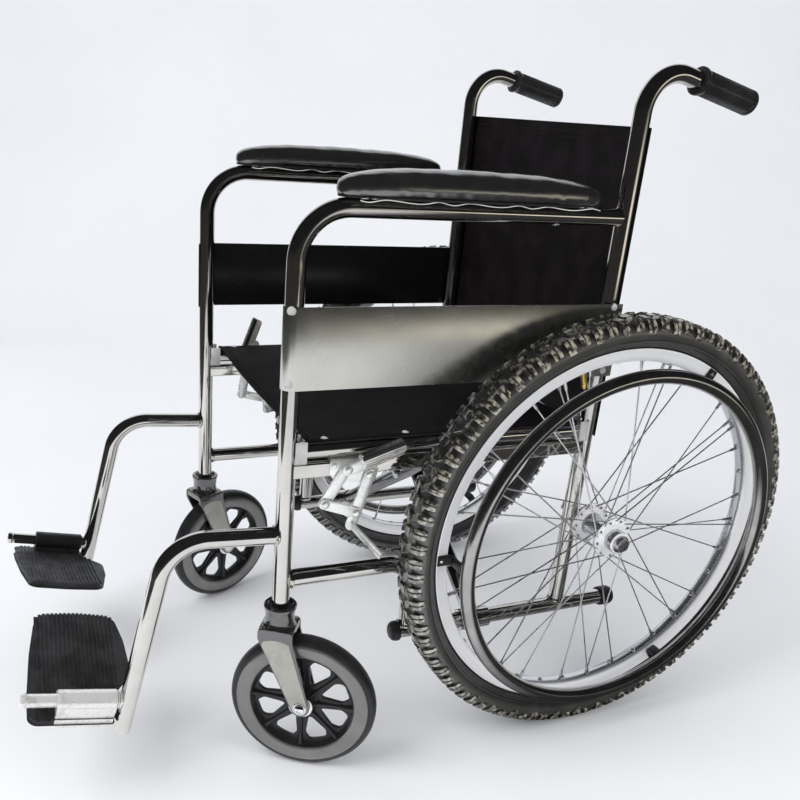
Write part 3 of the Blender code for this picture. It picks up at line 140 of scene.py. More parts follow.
class Tree:
    """Short calls that add nodes to a node tree."""

    def __init__(self, tree):
        self.tree = tree
        self.coords = self.add("ShaderNodeTexCoord").outputs

    def add(self, kind, **values):
        node = self.tree.nodes.new(kind)
        for key, value in values.items():
            setattr(node, key, value)
        return node

    def link(self, source, target):
        self.tree.links.new(source, target)

    def fill(self, socket, value):
        """Links an output to a socket, or sets the socket to a number or a colour."""
        if isinstance(value, bpy.types.NodeSocket):
            self.link(value, socket)
        else:
            socket.default_value = (*value, 1.0) if isinstance(value, tuple) else value

    def ramp(self, source, low, high, to_low=0.0, to_high=1.0):
        node = self.add("ShaderNodeMapRange")
        sockets = ("Value", "From Min", "From Max", "To Min", "To Max")
        for socket, value in zip(sockets, (source, low, high, to_low, to_high)):
            self.fill(node.inputs[socket], value)
        return node.outputs["Result"]

    def part(self, vector, letter):
        node = self.add("ShaderNodeSeparateXYZ")
        self.link(vector, node.inputs[0])
        return node.outputs[letter]

    def maths(self, operation, first, second=0.0):
        node = self.add("ShaderNodeMath", operation=operation)
        self.fill(node.inputs[0], first)
        self.fill(node.inputs[1], second)
        return node.outputs["Value"]

    def choose(self, factor, first, second):
        """One shader where the factor is 0, the other where it is 1."""
        node = self.add("ShaderNodeMixShader")
        for socket, value in zip(node.inputs, (factor, first, second)):
            self.link(value, socket)
        return node.outputs[0]


class Nodes(Tree):
    """A Principled material and short calls that drive it."""

    def __init__(self, name, colour, roughness, metallic=0.0, **sockets):
        self.mat = bpy.data.materials.new(name)
        self.mat.use_nodes = True
        super().__init__(self.mat.node_tree)
        self.place = self.coords["Object"]
        self.shader = self.tree.nodes["Principled BSDF"]
        sockets.update(Base_Color=colour, Roughness=roughness, Metallic=metallic)
        for socket, value in sockets.items():
            self.fill(self.shader.inputs[socket.replace("_", " ")], value)
        self.mat.diffuse_color = (*colour, 1.0)

    def texture(self, kind, output, inputs, **options):
        node = self.add(kind, **options)
        for socket, value in inputs.items():
            node.inputs[socket].default_value = value
        self.link(self.place, node.inputs["Vector"])
        return node.outputs[output]

    def noise(self, scale, detail=4.0, roughness=0.55, distortion=0.0):
        inputs = {"Scale": scale, "Detail": detail, "Roughness": roughness, "Distortion": distortion}
        return self.texture("ShaderNodeTexNoise", "Fac", inputs)

    def cells(self, scale):
        return self.texture("ShaderNodeTexVoronoi", "Distance", {"Scale": scale})

    def waves(self, scale, direction):
        return self.texture("ShaderNodeTexWave", "Fac", {"Scale": scale}, bands_direction=direction)

    def facing(self):
        """1 where the surface faces the chair's left, -1 where it faces the right."""
        return self.part(self.add("ShaderNodeNewGeometry").outputs["Normal"], "X")

    def outward(self, low, high):
        """1 on faces toward the chair's outside, 0 on the rest, by the facing times the distance out."""
        return self.ramp(self.maths("MULTIPLY", self.facing(), self.part(self.place, "X")), low, high)

    def sideways(self, low, high):
        """0 where a surface faces along or up, 1 where it faces a side of the chair."""
        return self.ramp(self.maths("ABSOLUTE", self.facing()), low, high)

    def mix(self, factor, first, second):
        node = self.add("ShaderNodeMix", data_type="RGBA")
        for socket, value in zip(("Factor", "A", "B"), (factor, first, second)):
            self.fill(node.inputs[socket], value)
        return node.outputs["Result"]

    def blotches(self, scale, detail, low, high, first, second):
        return self.mix(self.ramp(self.noise(scale, detail), low, high), first, second)

    def colour(self, source):
        self.link(source, self.shader.inputs["Base Color"])
        return self

    def rough(self, source, low, high):
        self.link(self.ramp(source, 0.3, 0.7, low, high), self.shader.inputs["Roughness"])
        return self

    def bump(self, source, distance, strength):
        node = self.add("ShaderNodeBump")
        node.inputs["Strength"].default_value = strength
        node.inputs["Distance"].default_value = distance
        self.link(source, node.inputs["Height"])
        last = self.shader.inputs["Normal"]
        if last.is_linked:
            self.link(last.links[0].from_socket, node.inputs["Normal"])
        self.link(node.outputs["Normal"], last)
        return self


WARM_COAT = (1.0, 0.97, 0.90)


def make_enamel():
    """Plated tube with a faint orange peel and a little dust, darker in the middle of the chair. It is
    painted lighter low down and darker high up, a painted reflection of the bright floor below and the dim
    room above.
    """
    m = Nodes("frame_enamel", (0.62, 0.60, 0.56), 0.13, 1.0)
    dust = m.ramp(m.noise(38.0, 5.0), 0.42, 0.72)
    # painted reflection: below 0.36 m the tubes take the lighter colour, above 0.58 m the darker one
    height = m.ramp(m.part(m.place, "Z"), 0.36, 0.58)
    middle = m.ramp(m.maths("ABSOLUTE", m.part(m.place, "X")), 0.165, 0.195, 1.0, 0.0)
    # lower and upper: the same dusty plating, painted lighter for the floor it reflects and darker for the
    # dim room
    lower = m.mix(dust, (0.66, 0.645, 0.61), (0.73, 0.71, 0.68))
    upper = m.mix(dust, (0.50, 0.485, 0.455), (0.57, 0.55, 0.515))
    inner = m.mix(dust, (0.20, 0.20, 0.21), (0.26, 0.26, 0.265))
    m.colour(m.mix(middle, m.mix(height, lower, upper), inner))
    m.rough(m.noise(120.0, 3.0), 0.05, 0.10)
    return m.bump(m.noise(420.0, 2.0), 0.00002, 0.3).mat


def make_guard():
    """Dull metal outside, black paint on the face toward the seat."""
    m = Nodes("guard_sheet", (0.60, 0.59, 0.55), 0.25, 1.0)
    metal = m.blotches(9.0, 4.0, 0.35, 0.7, (0.60, 0.60, 0.56), (0.68, 0.66, 0.61))
    outside = m.outward(-0.03, 0.0)
    m.colour(m.mix(outside, (0.006, 0.006, 0.007), metal))
    m.link(outside, m.shader.inputs["Metallic"])
    m.rough(m.noise(30.0, 2.0), 0.24, 0.28)
    return m.bump(m.noise(9.0, 1.0), 0.0003, 0.12).mat


def make_tyre_rubber():
    """Black casing rubber, with an olive grey side toward the outside."""
    m = Nodes("tyre_rubber", (0.010, 0.010, 0.010), 0.4, Coat_Weight=0.6, Coat_IOR=2.2, Coat_Roughness=0.34)
    dust = m.ramp(m.noise(45.0, 6.0), 0.45, 0.75)
    casing = m.mix(dust, (0.008, 0.008, 0.008), (0.020, 0.020, 0.019))
    side = m.mix(dust, (0.040, 0.039, 0.035), (0.066, 0.064, 0.057))
    m.colour(m.mix(m.outward(0.18, 0.265), casing, side))
    m.rough(m.noise(90.0, 4.0), 0.28, 0.45)
    return m.bump(m.noise(900.0, 3.0), 0.00015, 0.5).mat


def make_knob_rubber():
    """Tread rubber, black on top and between the blocks, with painted highlights: pale patches on the outer
    shoulders and a few faint ones on top, standing in for glints on glossy rubber.
    """
    m = Nodes("tyre_knob", (0.010, 0.010, 0.010), 0.28, Coat_Weight=1.0, Coat_IOR=2.6, Coat_Roughness=0.24,
              Coat_Tint=WARM_COAT)
    # painted highlights: pale patches on the outer shoulders stand in for glints of light on glossy rubber
    painted_glints = m.ramp(m.noise(150.0, 2.0, 0.4), 0.44, 0.62)
    shoulder = m.mix(painted_glints, (0.022, 0.021, 0.019), (0.42, 0.40, 0.335))
    # top: mostly black, with faint painted highlights in small patches
    top = m.blotches(120.0, 3.0, 0.56, 0.68, (0.009, 0.009, 0.009), (0.09, 0.086, 0.074))
    m.colour(m.mix(m.outward(0.10, 0.21), top, shoulder))
    m.rough(m.noise(70.0, 3.0), 0.22, 0.36)
    return m.bump(m.noise(540.0, 3.0), 0.00015, 0.4).mat


def make_rim_metal():
    """Bright plated rim: a satin white side, mirror plate on the well toward the hub."""
    m = Nodes("rim_chrome", (0.96, 0.96, 0.97), 0.22, 0.15)
    side = m.sideways(0.35, 0.75)
    m.colour(m.mix(side, (0.70, 0.71, 0.74), (0.95, 0.95, 0.96)))
    m.link(m.ramp(side, 0.0, 1.0, 0.95, 0.15), m.shader.inputs["Metallic"])
    m.rough(m.noise(60.0, 3.0), 0.16, 0.24)
    return m.bump(m.noise(360.0, 2.0), 0.00006, 0.3).mat


def make_vinyl():
    """Soft black upholstery vinyl with a fine leather grain."""
    m = Nodes("pad_vinyl", (0.008, 0.008, 0.009), 0.30, Coat_Weight=1.0, Coat_IOR=2.4, Coat_Roughness=0.17,
              Coat_Tint=WARM_COAT)
    m.colour(m.blotches(70.0, 4.0, 0.4, 0.75, (0.006, 0.006, 0.007), (0.013, 0.013, 0.013)))
    m.rough(m.noise(85.0, 5.0), 0.28, 0.40)
    m.bump(m.noise(55.0, 3.0, distortion=0.6), 0.0008, 0.22)
    return m.bump(m.cells(1150.0), 0.00010, 0.30).mat


def make_cloth():
    """Black nylon upholstery cloth: a plain weave with a dull sheen, for the seat and the back."""
    m = Nodes("sling_cloth", (0.008, 0.006, 0.007), 0.75, Specular_IOR_Level=0.15)
    weft, along, up = (m.waves(260.0, axis) for axis in "XYZ")
    weave = m.maths("ADD", m.maths("MULTIPLY", weft, along), m.maths("MULTIPLY", weft, up))
    m.colour(m.blotches(30.0, 5.0, 0.4, 0.75, (0.006, 0.0046, 0.0055), (0.012, 0.0095, 0.011)))
    m.bump(m.noise(60.0, 4.0), 0.0010, 0.3)
    return m.bump(weave, 0.00025, 0.5).mat


def make_brass():
    """The valve stem's brass."""
    m = Nodes("valve_brass", (0.80, 0.56, 0.16), 0.24, 1.0)
    return m.rough(m.noise(400.0), 0.18, 0.34).mat


def make_handrim_metal():
    """Dark polished metal of the push rims, in faint blotches."""
    m = Nodes("handrim_finish", (0.42, 0.41, 0.40), 0.14, 1.0)
    m.colour(m.blotches(26.0, 4.0, 0.35, 0.75, (0.36, 0.35, 0.34), (0.50, 0.48, 0.47)))
    return m.rough(m.noise(70.0), 0.11, 0.2).mat


def make_worn(name, dark, pale, low, high, cut, scale, metallic=0.0):
    """Two shades with sharp borders, for worn faces and uneven plating."""
    m = Nodes(name, dark, low, metallic)
    m.colour(m.mix(m.ramp(m.noise(scale, 5.0, 0.6, 0.5), cut, cut + 0.10), dark, pale))
    m.rough(m.noise(scale * 0.8, 4.0), low, high)
    return m.bump(m.noise(scale * 6.0, 3.0), 0.00015, 0.4).mat


def make_finish(name, base, roughness, blotches, rough, grain, metallic=0.0, **sockets):
    """Soft blotches of two shades, uneven gloss and a fine grain. Each list is a noise and what it drives."""
    m = Nodes(name, base, roughness, metallic, **sockets)
    m.colour(m.blotches(*blotches))
    m.rough(m.noise(*rough[:2]), *rough[2:])
    return m.bump(m.noise(*grain[:2]), *grain[2:]).mat


def make_chrome(name, shade, roughness, smear):
    """Plated metal with smears."""
    bright = (shade, shade, shade * 1.01)
    dull = (shade * 0.9, shade * 0.9, shade * 0.93)
    return make_finish(name, bright, roughness, (smear * 0.4, 3.0, 0.3, 0.75, bright, dull),
                       (smear, 4.0, roughness * 0.7, roughness * 1.6), (smear * 5.0, 2.0, 0.00004, 0.3), 1.0)


def make_rubber(name, shade, low, high):
    """Plain black rubber."""
    dark, pale = (shade, shade, shade * 1.06), (shade * 1.9, shade * 1.9, shade * 2.0)
    return make_finish(name, dark, low, (55.0, 5.0, 0.4, 0.75, dark, pale), (140.0, 4.0, low, high),
                       (1500.0, 2.0, 0.00008, 0.5))


def make_moulded(name, colour, low, high, grain=700.0):
    """Moulded plastic, also for thread and backing."""
    lighter = tuple(min(1.0, c * 1.35 + 0.004) for c in colour)
    return make_finish(name, colour, low, (48.0, 5.0, 0.4, 0.75, colour, lighter), (110.0, 4.0, low, high),
                       (grain, 3.0, 0.00010, 0.5))


ENAMEL = make_enamel()
GUARD = make_guard()
CHROME = make_rim_metal()
ZINC = make_chrome("bright_zinc", 0.80, 0.22, 160.0)
SPOKE = make_chrome("spoke_steel", 0.90, 0.30, 90.0)
BRASS = make_brass()
TYRE = make_tyre_rubber()
RUBBER = make_rubber("black_rubber", 0.008, 0.34, 0.52)
CASTER_TYRE = make_rubber("caster_rubber", 0.011, 0.34, 0.50)
# Dull grey side of the caster tyre, with scuffs
CASTER_BAND = make_finish("caster_band", (0.08, 0.08, 0.07), 0.34,
                          (22.0, 4.0, 0.35, 0.7, (0.062, 0.061, 0.055), (0.125, 0.122, 0.106)),
                          (60.0, 3.0, 0.28, 0.40), (300.0, 3.0, 0.00008, 0.4),
                          Coat_Weight=0.8, Coat_IOR=2.3, Coat_Roughness=0.28)
VINYL = make_vinyl()
CLOTH = make_cloth()
HEM = make_moulded("hem_thread", (0.016, 0.010, 0.011), 0.5, 0.7)
BACKING = make_moulded("vinyl_backing", (0.62, 0.61, 0.57), 0.6, 0.8)
PLASTIC = make_moulded("black_plastic", (0.010, 0.010, 0.011), 0.26, 0.42)
# Gloss black fork plastic with a thick lacquer
FORK = make_finish("fork_cup", (0.012, 0.012, 0.013), 0.22,
                   (48.0, 4.0, 0.4, 0.75, (0.011, 0.011, 0.012), (0.020, 0.020, 0.021)),
                   (70.0, 3.0, 0.18, 0.28), (500.0, 2.0, 0.00006, 0.4),
                   Coat_Weight=0.9, Coat_IOR=2.3, Coat_Roughness=0.12, Coat_Tint=(1.0, 0.98, 0.92))
FORK_FACE = make_worn("fork_face", (0.36, 0.35, 0.315), (0.41, 0.40, 0.36), 0.24, 0.36, 0.42, 30.0)
GRIP = make_moulded("grip_plastic", (0.012, 0.012, 0.013), 0.24, 0.38)
NYLON = make_moulded("white_nylon", (0.46, 0.46, 0.45), 0.34, 0.5, 500.0)
BRIGHT = make_worn("bright_zinc", (0.92, 0.93, 0.90), (0.74, 0.76, 0.73), 0.14, 0.30, 0.52, 60.0, 0.72)
FLUTED = make_worn("fluted_metal", (0.84, 0.82, 0.79), (0.66, 0.63, 0.60), 0.16, 0.28, 0.5, 60.0, 0.7)
DOME = make_chrome("bolt_chrome", 0.92, 0.08, 200.0)
SILVER = make_worn("cast_silver", (0.84, 0.83, 0.81), (0.66, 0.65, 0.63), 0.22, 0.38, 0.54, 80.0, 0.45)
TREAD = make_finish("footplate_rubber", (0.030, 0.031, 0.033), 0.5,
                    (40.0, 6.0, 0.42, 0.72, (0.012, 0.012, 0.013), (0.036, 0.036, 0.037)),
                    (75.0, 4.0, 0.42, 0.66), (1000.0, 3.0, 0.00012, 0.5))
KNOB = make_knob_rubber()
HANDRIM = make_handrim_metal()


# Mesh building

def moved(points, matrix):
    """Points after a matrix, as rows of an array."""
    m = np.array(matrix)
    return points @ m[:3, :3].T + m[:3, 3]


def flipped(faces):
    """Faces that look the other way."""
    return [tuple(reversed(face)) for face in faces]


class Form:
    """Collects shapes, each with a material number, and makes one mesh object of them."""

    def __init__(self):
        self.points = []
        self.faces = []
        self.mats = []
        self.count = 0

    def add(self, shape, mat=0, matrix=None):
        points, faces = shape
        points = np.asarray(points, float)
        if matrix is not None:
            points = moved(points, matrix)
            if matrix.determinant() < 0:
                faces = flipped(faces)
        self.points.append(points)
        self.faces += [tuple(i + self.count for i in face) for face in faces]
        self.mats += [mat] * len(faces)
        self.count += len(points)
        return self

    def make(self, name, materials, matrix=None, angle=38.0):
        mesh = bpy.data.meshes.new(name)
        mesh.from_pydata(np.vstack(self.points).tolist(), [], self.faces)
        for material in materials:
            mesh.materials.append(material)
        mesh.polygons.foreach_set("material_index", self.mats)
        shells = bmesh.new()
        shells.from_mesh(mesh)
        bmesh.ops.recalc_face_normals(shells, faces=shells.faces)
        shells.to_mesh(mesh)
        shells.free()
        if matrix is not None:
            mesh.transform(matrix)
        mesh.polygons.foreach_set("use_smooth", [True] * len(self.faces))
        mesh.set_sharp_from_angle(angle=math.radians(angle))
        mesh.update()
        item = bpy.data.objects.new(name, mesh)
        bpy.context.scene.collection.objects.link(item)
        return item


def grid_faces(rows, columns, wrap_rows, wrap_columns):
    """Four-cornered faces between the points of a grid, which can close on itself either way."""
    faces = []
    for row in range(rows if wrap_rows else rows - 1):
        for column in range(columns if wrap_columns else columns - 1):
            a = row * columns + column
            b = row * columns + (column + 1) % columns
            c = ((row + 1) % rows) * columns + (column + 1) % columns
            d = ((row + 1) % rows) * columns + column
            faces.append((a, b, c, d))
    return faces


def tube_faces(rows, columns):
    """Faces round a stack of closed rows, with both ends closed."""
    faces = grid_faces(rows, columns, False, True)
    faces.append(tuple(range(columns - 1, -1, -1)))
    faces.append(tuple((rows - 1) * columns + index for index in range(columns)))
    return faces


def circle(radius, count, x=0.0, y=0.0):
    """Points round a circle."""
    return [(x + radius * math.cos(a), y + radius * math.sin(a))
            for a in np.linspace(0, 2 * math.pi, count, endpoint=False)]


def sweep(path, radius, sides, closed=False):
    """A round tube along a path. radius is one number or one for each point."""
    path = [Vector(point) for point in path]
    count = len(path)
    radii = list(radius) if hasattr(radius, "__len__") else [radius] * count
    tangents = []
    for index in range(count):
        before = path[index - 1] if closed or index else path[0]
        after = path[(index + 1) % count] if closed or index < count - 1 else path[-1]
        tangents.append((after - before).normalized())
    side = tangents[0].orthogonal().normalized()
    points = []
    for centre, tangent, size in zip(path, tangents, radii):
        side = (side - tangent * side.dot(tangent)).normalized()
        across = tangent.cross(side)
        for step in range(sides):
            angle = 2 * math.pi * step / sides
            points.append(tuple(centre + (side * math.cos(angle) + across * math.sin(angle)) * size))
    return np.array(points), grid_faces(count, sides, True, True) if closed else tube_faces(count, sides)


def lathe(profile, steps, axis="x"):
    """Turns (radius, distance) points about an axis. Ends at radius 0 close to a point."""
    profile = np.array(profile, float)
    rows = len(profile)
    angles = np.arange(steps) * 2 * math.pi / steps
    radius = np.repeat(profile[:, 0], steps).reshape(rows, steps)
    along = np.repeat(profile[:, 1], steps).reshape(rows, steps)
    a, b = radius * np.sin(angles), radius * np.cos(angles)
    grid = np.stack({"x": (along, a, b), "y": (b, along, a), "z": (a, b, along)}[axis], axis=2)
    faces = grid_faces(rows, steps, False, True)
    return grid.reshape(-1, 3), faces if axis == "z" else flipped(faces)


def ring(profile, steps, axis="x"):
    """Turns a closed (radius, distance) outline about an axis."""
    faces = grid_faces(len(profile), steps, True, True)
    return lathe(profile, steps, axis)[0], faces if axis == "z" else flipped(faces)


def offset_outline(outline, distance):
    """Moves each corner of a counter-clockwise outline inward by a distance."""
    points = [Vector(point) for point in outline]
    result = []
    for index, corner in enumerate(points):
        before = corner - points[index - 1]
        after = points[(index + 1) % len(points)] - corner
        normal_a = Vector((-before.y, before.x)).normalized()
        normal_b = Vector((-after.y, after.x)).normalized()
        normal = normal_a + normal_b
        if normal.length < 1e-6:
            normal = normal_a
        normal.normalize()
        reach = distance / max(0.35, normal.dot(normal_a))
        result.append(corner + normal * reach)
    return result


def slab(outline, low, high, bevel, plane="x"):
    """A plate from a counter-clockwise outline, with small rounded edges."""
    levels = [(low, bevel), (low + bevel * 0.3, bevel * 0.3), (low + bevel, 0.0),
              (high - bevel, 0.0), (high - bevel * 0.3, bevel * 0.3), (high, bevel)]
    points = []
    for height, inset in levels:
        for a, b in (offset_outline(outline, inset) if inset else outline):
            points.append({"x": (height, a, b), "y": (a, height, b), "z": (a, b, height)}[plane])
    faces = tube_faces(len(levels), len(outline))
    return np.array(points), flipped(faces) if plane == "y" else faces


def rounded_outline(corners, radius, steps):
    """Rounds each corner of an outline. radius is one number or one for each corner."""
    corners = [Vector(corner) for corner in corners]
    radii = list(radius) if hasattr(radius, "__len__") else [radius] * len(corners)
    outline = []
    for index, corner in enumerate(corners):
        before = corners[index - 1] - corner
        after = corners[(index + 1) % len(corners)] - corner
        angle = before.angle(after)
        size = min(radii[index], 0.48 * min(before.length, after.length) * math.tan(angle / 2))
        if size < 1e-6 or angle > math.pi - 0.02:
            outline.append(corner)
            continue
        toward, away = before.normalized(), after.normalized()
        centre = corner + (toward + away).normalized() * (size / math.sin(angle / 2))
        first, last = (corner + way * (size / math.tan(angle / 2)) - centre for way in (toward, away))
        turn = first.angle_signed(last)
        for step in range(steps + 1):
            outline.append(centre + Matrix.Rotation(-turn * step / steps, 2) @ first)
    return outline


def box(low, high, bevel):
    """A box with rounded edges."""
    (x0, y0, z0), (x1, y1, z1) = low, high
    outline = rounded_outline([(x0, y0), (x1, y0), (x1, y1), (x0, y1)], bevel * 1.5, 3)
    return slab(outline, z0, z1, bevel, "z")


def hexagon(radius, spin, lift=0.0):
    """The outline of a nut or bolt head."""
    angles = [math.radians(60 * index) + spin for index in range(6)]
    corners = [(radius * math.cos(a), lift + radius * math.sin(a)) for a in angles]
    return rounded_outline(corners, 0.0010, 2)


def disc_profile(radius, low, high, bevel=0.0005):
    """The half outline of a round bar with eased edges, for lathe."""
    edge = [(radius - bevel, 0.0), (radius - bevel * 0.3, bevel * 0.3), (radius, bevel)]
    return ([(0.0, low)] + [(r, low + rise) for r, rise in edge]
            + [(r, high - rise) for r, rise in reversed(edge)] + [(0.0, high)])


def arc_path(corners, radius, steps):
    """A path of three corners, the middle one rounded."""
    before, corner, after = (Vector(point) for point in corners)
    toward = (before - corner).normalized()
    away = (after - corner).normalized()
    half = toward.angle(away) / 2
    centre = corner + (toward + away).normalized() * (radius / math.sin(half))
    first, last = (corner + way * (radius / math.tan(half)) - centre for way in (toward, away))
    turn = first.angle(last)
    path = [before]
    for step in range(steps + 1):
        share = step / steps
        reach = first * math.sin((1 - share) * turn) + last * math.sin(share * turn)
        path.append(centre + reach / math.sin(turn))
    return path + [after]


def weld_bead(centre, along, radius, seed, size=0.0016):
    """An uneven bead of weld metal round a joint."""
    steps = 44
    along = Vector(along).normalized()
    side = along.orthogonal().normalized()
    across = along.cross(side)
    path, radii = [], []
    for step in range(steps):
        angle = 2 * math.pi * step / steps
        swell = 1.0 + 0.22 * math.sin(11 * angle + seed) + 0.12 * math.sin(5 * angle + 2 * seed)
        path.append(Vector(centre) + (side * math.cos(angle) + across * math.sin(angle)) * radius)
        radii.append(size * swell)
    return sweep(path, radii, 8, closed=True)


def screw_head(radius, height, washer=0.0):
    """A domed screw head that rises along +Z, on a washer where it has one."""
    profile = [(0.0, height), (radius * 0.35, height * 0.97), (radius * 0.7, height * 0.78),
               (radius * 0.93, height * 0.42), (radius, 0.0)]
    profile += [(washer, 0.0), (washer, -0.0008)] if washer else [(radius, -0.0004)]
    return lathe(profile[::-1], 24, "z")


def aim(place, direction):
    """A matrix that puts +Z along a direction at a place."""
    return Matrix.Translation(Vector(place)) @ Vector(direction).to_track_quat("Z", "Y").to_matrix().to_4x4()


def finish_piece(item, body, nodes, slot):
    """Puts a piece on its body and hides the CAD nodes it stands for. The material slot is not used."""
    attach(item, body)
    if nodes:
        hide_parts(*nodes)


def mirrored(item):
    """Carries a piece drawn on the left side over to the right one."""
    item.data.transform(MIRROR)
    item.data.flip_normals()


# Rear wheels, built about the axle with +X outward

def tyre_surface(x):
    """Height of the casing under the tread at a distance x from the middle."""
    return 0.2965 - 9.6 * x * x - 9000.0 * x ** 4


def knob(angle, half_angle, x_low, x_high, lean, top, dip):
    """One tread block: follows the casing across, stands up to top above it, dished by dip."""
    sink, taper = 0.002, 0.78
    points = []
    for x in np.linspace(x_low, x_high, 4):
        share = (x - x_low) / (x_high - x_low)
        centre = angle + lean * (share - 0.5)
        base = tyre_surface(x) - sink
        crest = tyre_surface(x) + top - dip * (1 - abs(2 * share - 1))
        for level, width in ((base, 1.06), (crest - 0.0007, taper + 0.12), (crest, taper)):
            for way in (-1, 1):
                turn = centre + way * half_angle * width
                points.append((x, level * math.sin(turn), level * math.cos(turn)))
    faces = []
    order = (0, 2, 4, 5, 3, 1)
    for step in range(3):
        for index in range(6):
            a, b = order[index], order[(index + 1) % 6]
            faces.append((step * 6 + a, step * 6 + b, (step + 1) * 6 + b, (step + 1) * 6 + a))
    faces.append(tuple(reversed(order)))
    faces.append(tuple(18 + index for index in order))
    return np.array(points), faces


def side_knob(angle, half_angle, way, long):
    """A shoulder block that wraps from the tread edge down the sidewall, with a groove in its face."""
    stations = [(0.0150, 0.3000), (0.0195, 0.2978), (0.0236, 0.2936), (0.0258, 0.2885),
                (0.0262, 0.2835 if long else 0.2868)]
    inner = [(0.0150, 0.2920), (0.0190, 0.2905), (0.0222, 0.2880), (0.0240, 0.2850),
             (0.0246, 0.2815 if long else 0.2850)]
    points = []
    for index, ((x, radius), (x_in, radius_in)) in enumerate(zip(stations, inner)):
        width = half_angle * (1.0 if index < 4 else 0.86)
        groove = 0.0014 if 1 <= index <= 3 else 0.0003
        marks = ((-1.06, 0.0, True), (-1.0, 0.0, False), (-0.82, 0.0004, False), (-0.20, 0.0003, False),
                 (0.0, -groove, False), (0.20, 0.0003, False), (0.82, 0.0004, False), (1.0, 0.0, False),
                 (1.06, 0.0, True))
        for share, rise, deep in marks:
            turn = angle + width * share
            r, px = (radius_in, x_in) if deep else (radius + rise, x + rise * 0.7)
            points.append((px * way, r * math.sin(turn), r * math.cos(turn)))
    faces = tube_faces(len(stations), len(marks))
    return np.array(points), flipped(faces) if way > 0 else faces


def make_tyre(name):
    """The casing with a raised line on each side, and a tread of paired blocks with side blocks."""
    form = Form()
    casing = [(0.2528, -0.0098), (0.2604, -0.0100), (0.2612, -0.0122), (0.2640, -0.0158), (0.2655, -0.0160),
              (0.2668, -0.0180), (0.2682, -0.0181), (0.2698, -0.0200), (0.2712, -0.0201), (0.2730, -0.0219),
              (0.2760, -0.0236), (0.2795, -0.0245), (0.2830, -0.0247), (0.2865, -0.0240), (0.2895, -0.0224),
              (0.2920, -0.0200), (0.2942, -0.0162)]
    casing += [(tyre_surface(x), x) for x in (-0.0120, -0.0080, -0.0040, 0.0)]
    casing += [(radius, -x) for radius, x in reversed(casing[:-1])]
    form.add(ring(casing[::-1], WHEEL_STEPS))
    for way in (-1, 1):
        line = [(radius, way * x) for radius, x in circle(0.0005, 6, 0.2716, 0.0213)]
        form.add(ring(line[::way], WHEEL_STEPS))
    pitch = 2 * math.pi / KNOBS
    # Two kinds of row by turns: shift and half width in pitches, inner and outer edge, lean, height, dip
    rows = ((0.12, 0.33, 0.0040, 0.0132, 0.35, 0.0046, 0.0006),
            (-0.10, 0.26, 0.0072, 0.0142, -0.25, 0.0044, 0.0))
    for index in range(KNOBS):
        angle = index * pitch
        odd = index % 2
        shift, half, near, far, lean, top, dip = rows[odd]
        for way in (-1, 1):
            form.add(side_knob(angle + (0.25 * pitch if way > 0 else 0.0), 0.31 * pitch, way, odd == 0), 1)
            x_low, x_high = sorted((near * way, far * way))
            form.add(knob(angle + shift * pitch * way, half * pitch, x_low, x_high,
                          lean * pitch * way, top, dip), 1)
        if odd:
            form.add(knob(angle, 0.36 * pitch, -0.0052, 0.0052, 0.0, 0.0046, 0.0010), 1)
    return form.make(name, [TYRE, KNOB], angle=30.0)


def make_rim(name):
    """The rim with its spoke eyelets and the valve stem."""
    form = Form()
    half = [(0.2600, 0.0112), (0.2603, 0.0122), (0.2602, 0.0134), (0.2594, 0.0140), (0.2580, 0.0141),
            (0.2566, 0.0136), (0.2550, 0.0133), (0.2512, 0.0131), (0.2486, 0.0127), (0.2462, 0.0118),
            (0.2440, 0.0102), (0.2422, 0.0076), (0.2412, 0.0040), (0.2409, 0.0)]
    inner = [(0.2598, 0.0106), (0.2560, 0.0105), (0.2527, 0.0104), (0.2524, 0.0)]
    outline = half + [(r, -x) for r, x in reversed(half[:-1])]
    outline += [(r, -x) for r, x in inner] + [(r, x) for r, x in reversed(inner[:-1])]
    form.add(ring(outline[::-1], WHEEL_STEPS))
    inward = Matrix.Rotation(math.pi, 4, "X")
    eyelet = [(0.0026, -0.0006), (0.0034, -0.0002), (0.0036, 0.0004), (0.0028, 0.0009), (0.0020, 0.0006)]
    for index in range(SPOKES):
        turn = Matrix.Rotation(-2 * math.pi * (index + 0.5) / SPOKES, 4, "X")
        place = Matrix.Translation((0.0012 * (1 if index % 2 else -1), 0, 0.2406))
        form.add(lathe(eyelet, 12, "z"), 0, turn @ place @ inward)
    stem = Matrix.Rotation(-VALVE_ANGLE, 4, "X") @ Matrix.Translation((0.0, 0.0, 0.2412)) @ inward
    form.add(lathe([(0.0, -0.004), (0.0042, -0.004), (0.0042, 0.001), (0.0032, 0.0014), (0.0032, 0.015),
                    (0.0040, 0.0156), (0.0040, 0.0216), (0.0034, 0.0226), (0.0, 0.0228)], 20, "z"), 1, stem)
    for thread in range(7):
        z = 0.0034 + thread * 0.0016
        form.add(ring([(0.0031, z - 0.0006), (0.0037, z), (0.0031, z + 0.0006)], 16, "z"), 1, stem)
    return form.make(name, [CHROME, BRASS])


def spoke_line(index):
    """A spoke's flange and lean, and the angles of its two ends, laced three-cross."""
    flange = 1 if index % 2 == 0 else -1
    order = index // 2
    pitch = 4 * math.pi / SPOKES
    lean = 1 if order % 2 == 0 else -1
    hub_angle = order * pitch + (0 if flange > 0 else pitch / 2)
    rim_angle = hub_angle + lean * 3 * pitch * 0.93
    return flange, lean, hub_angle, rim_angle


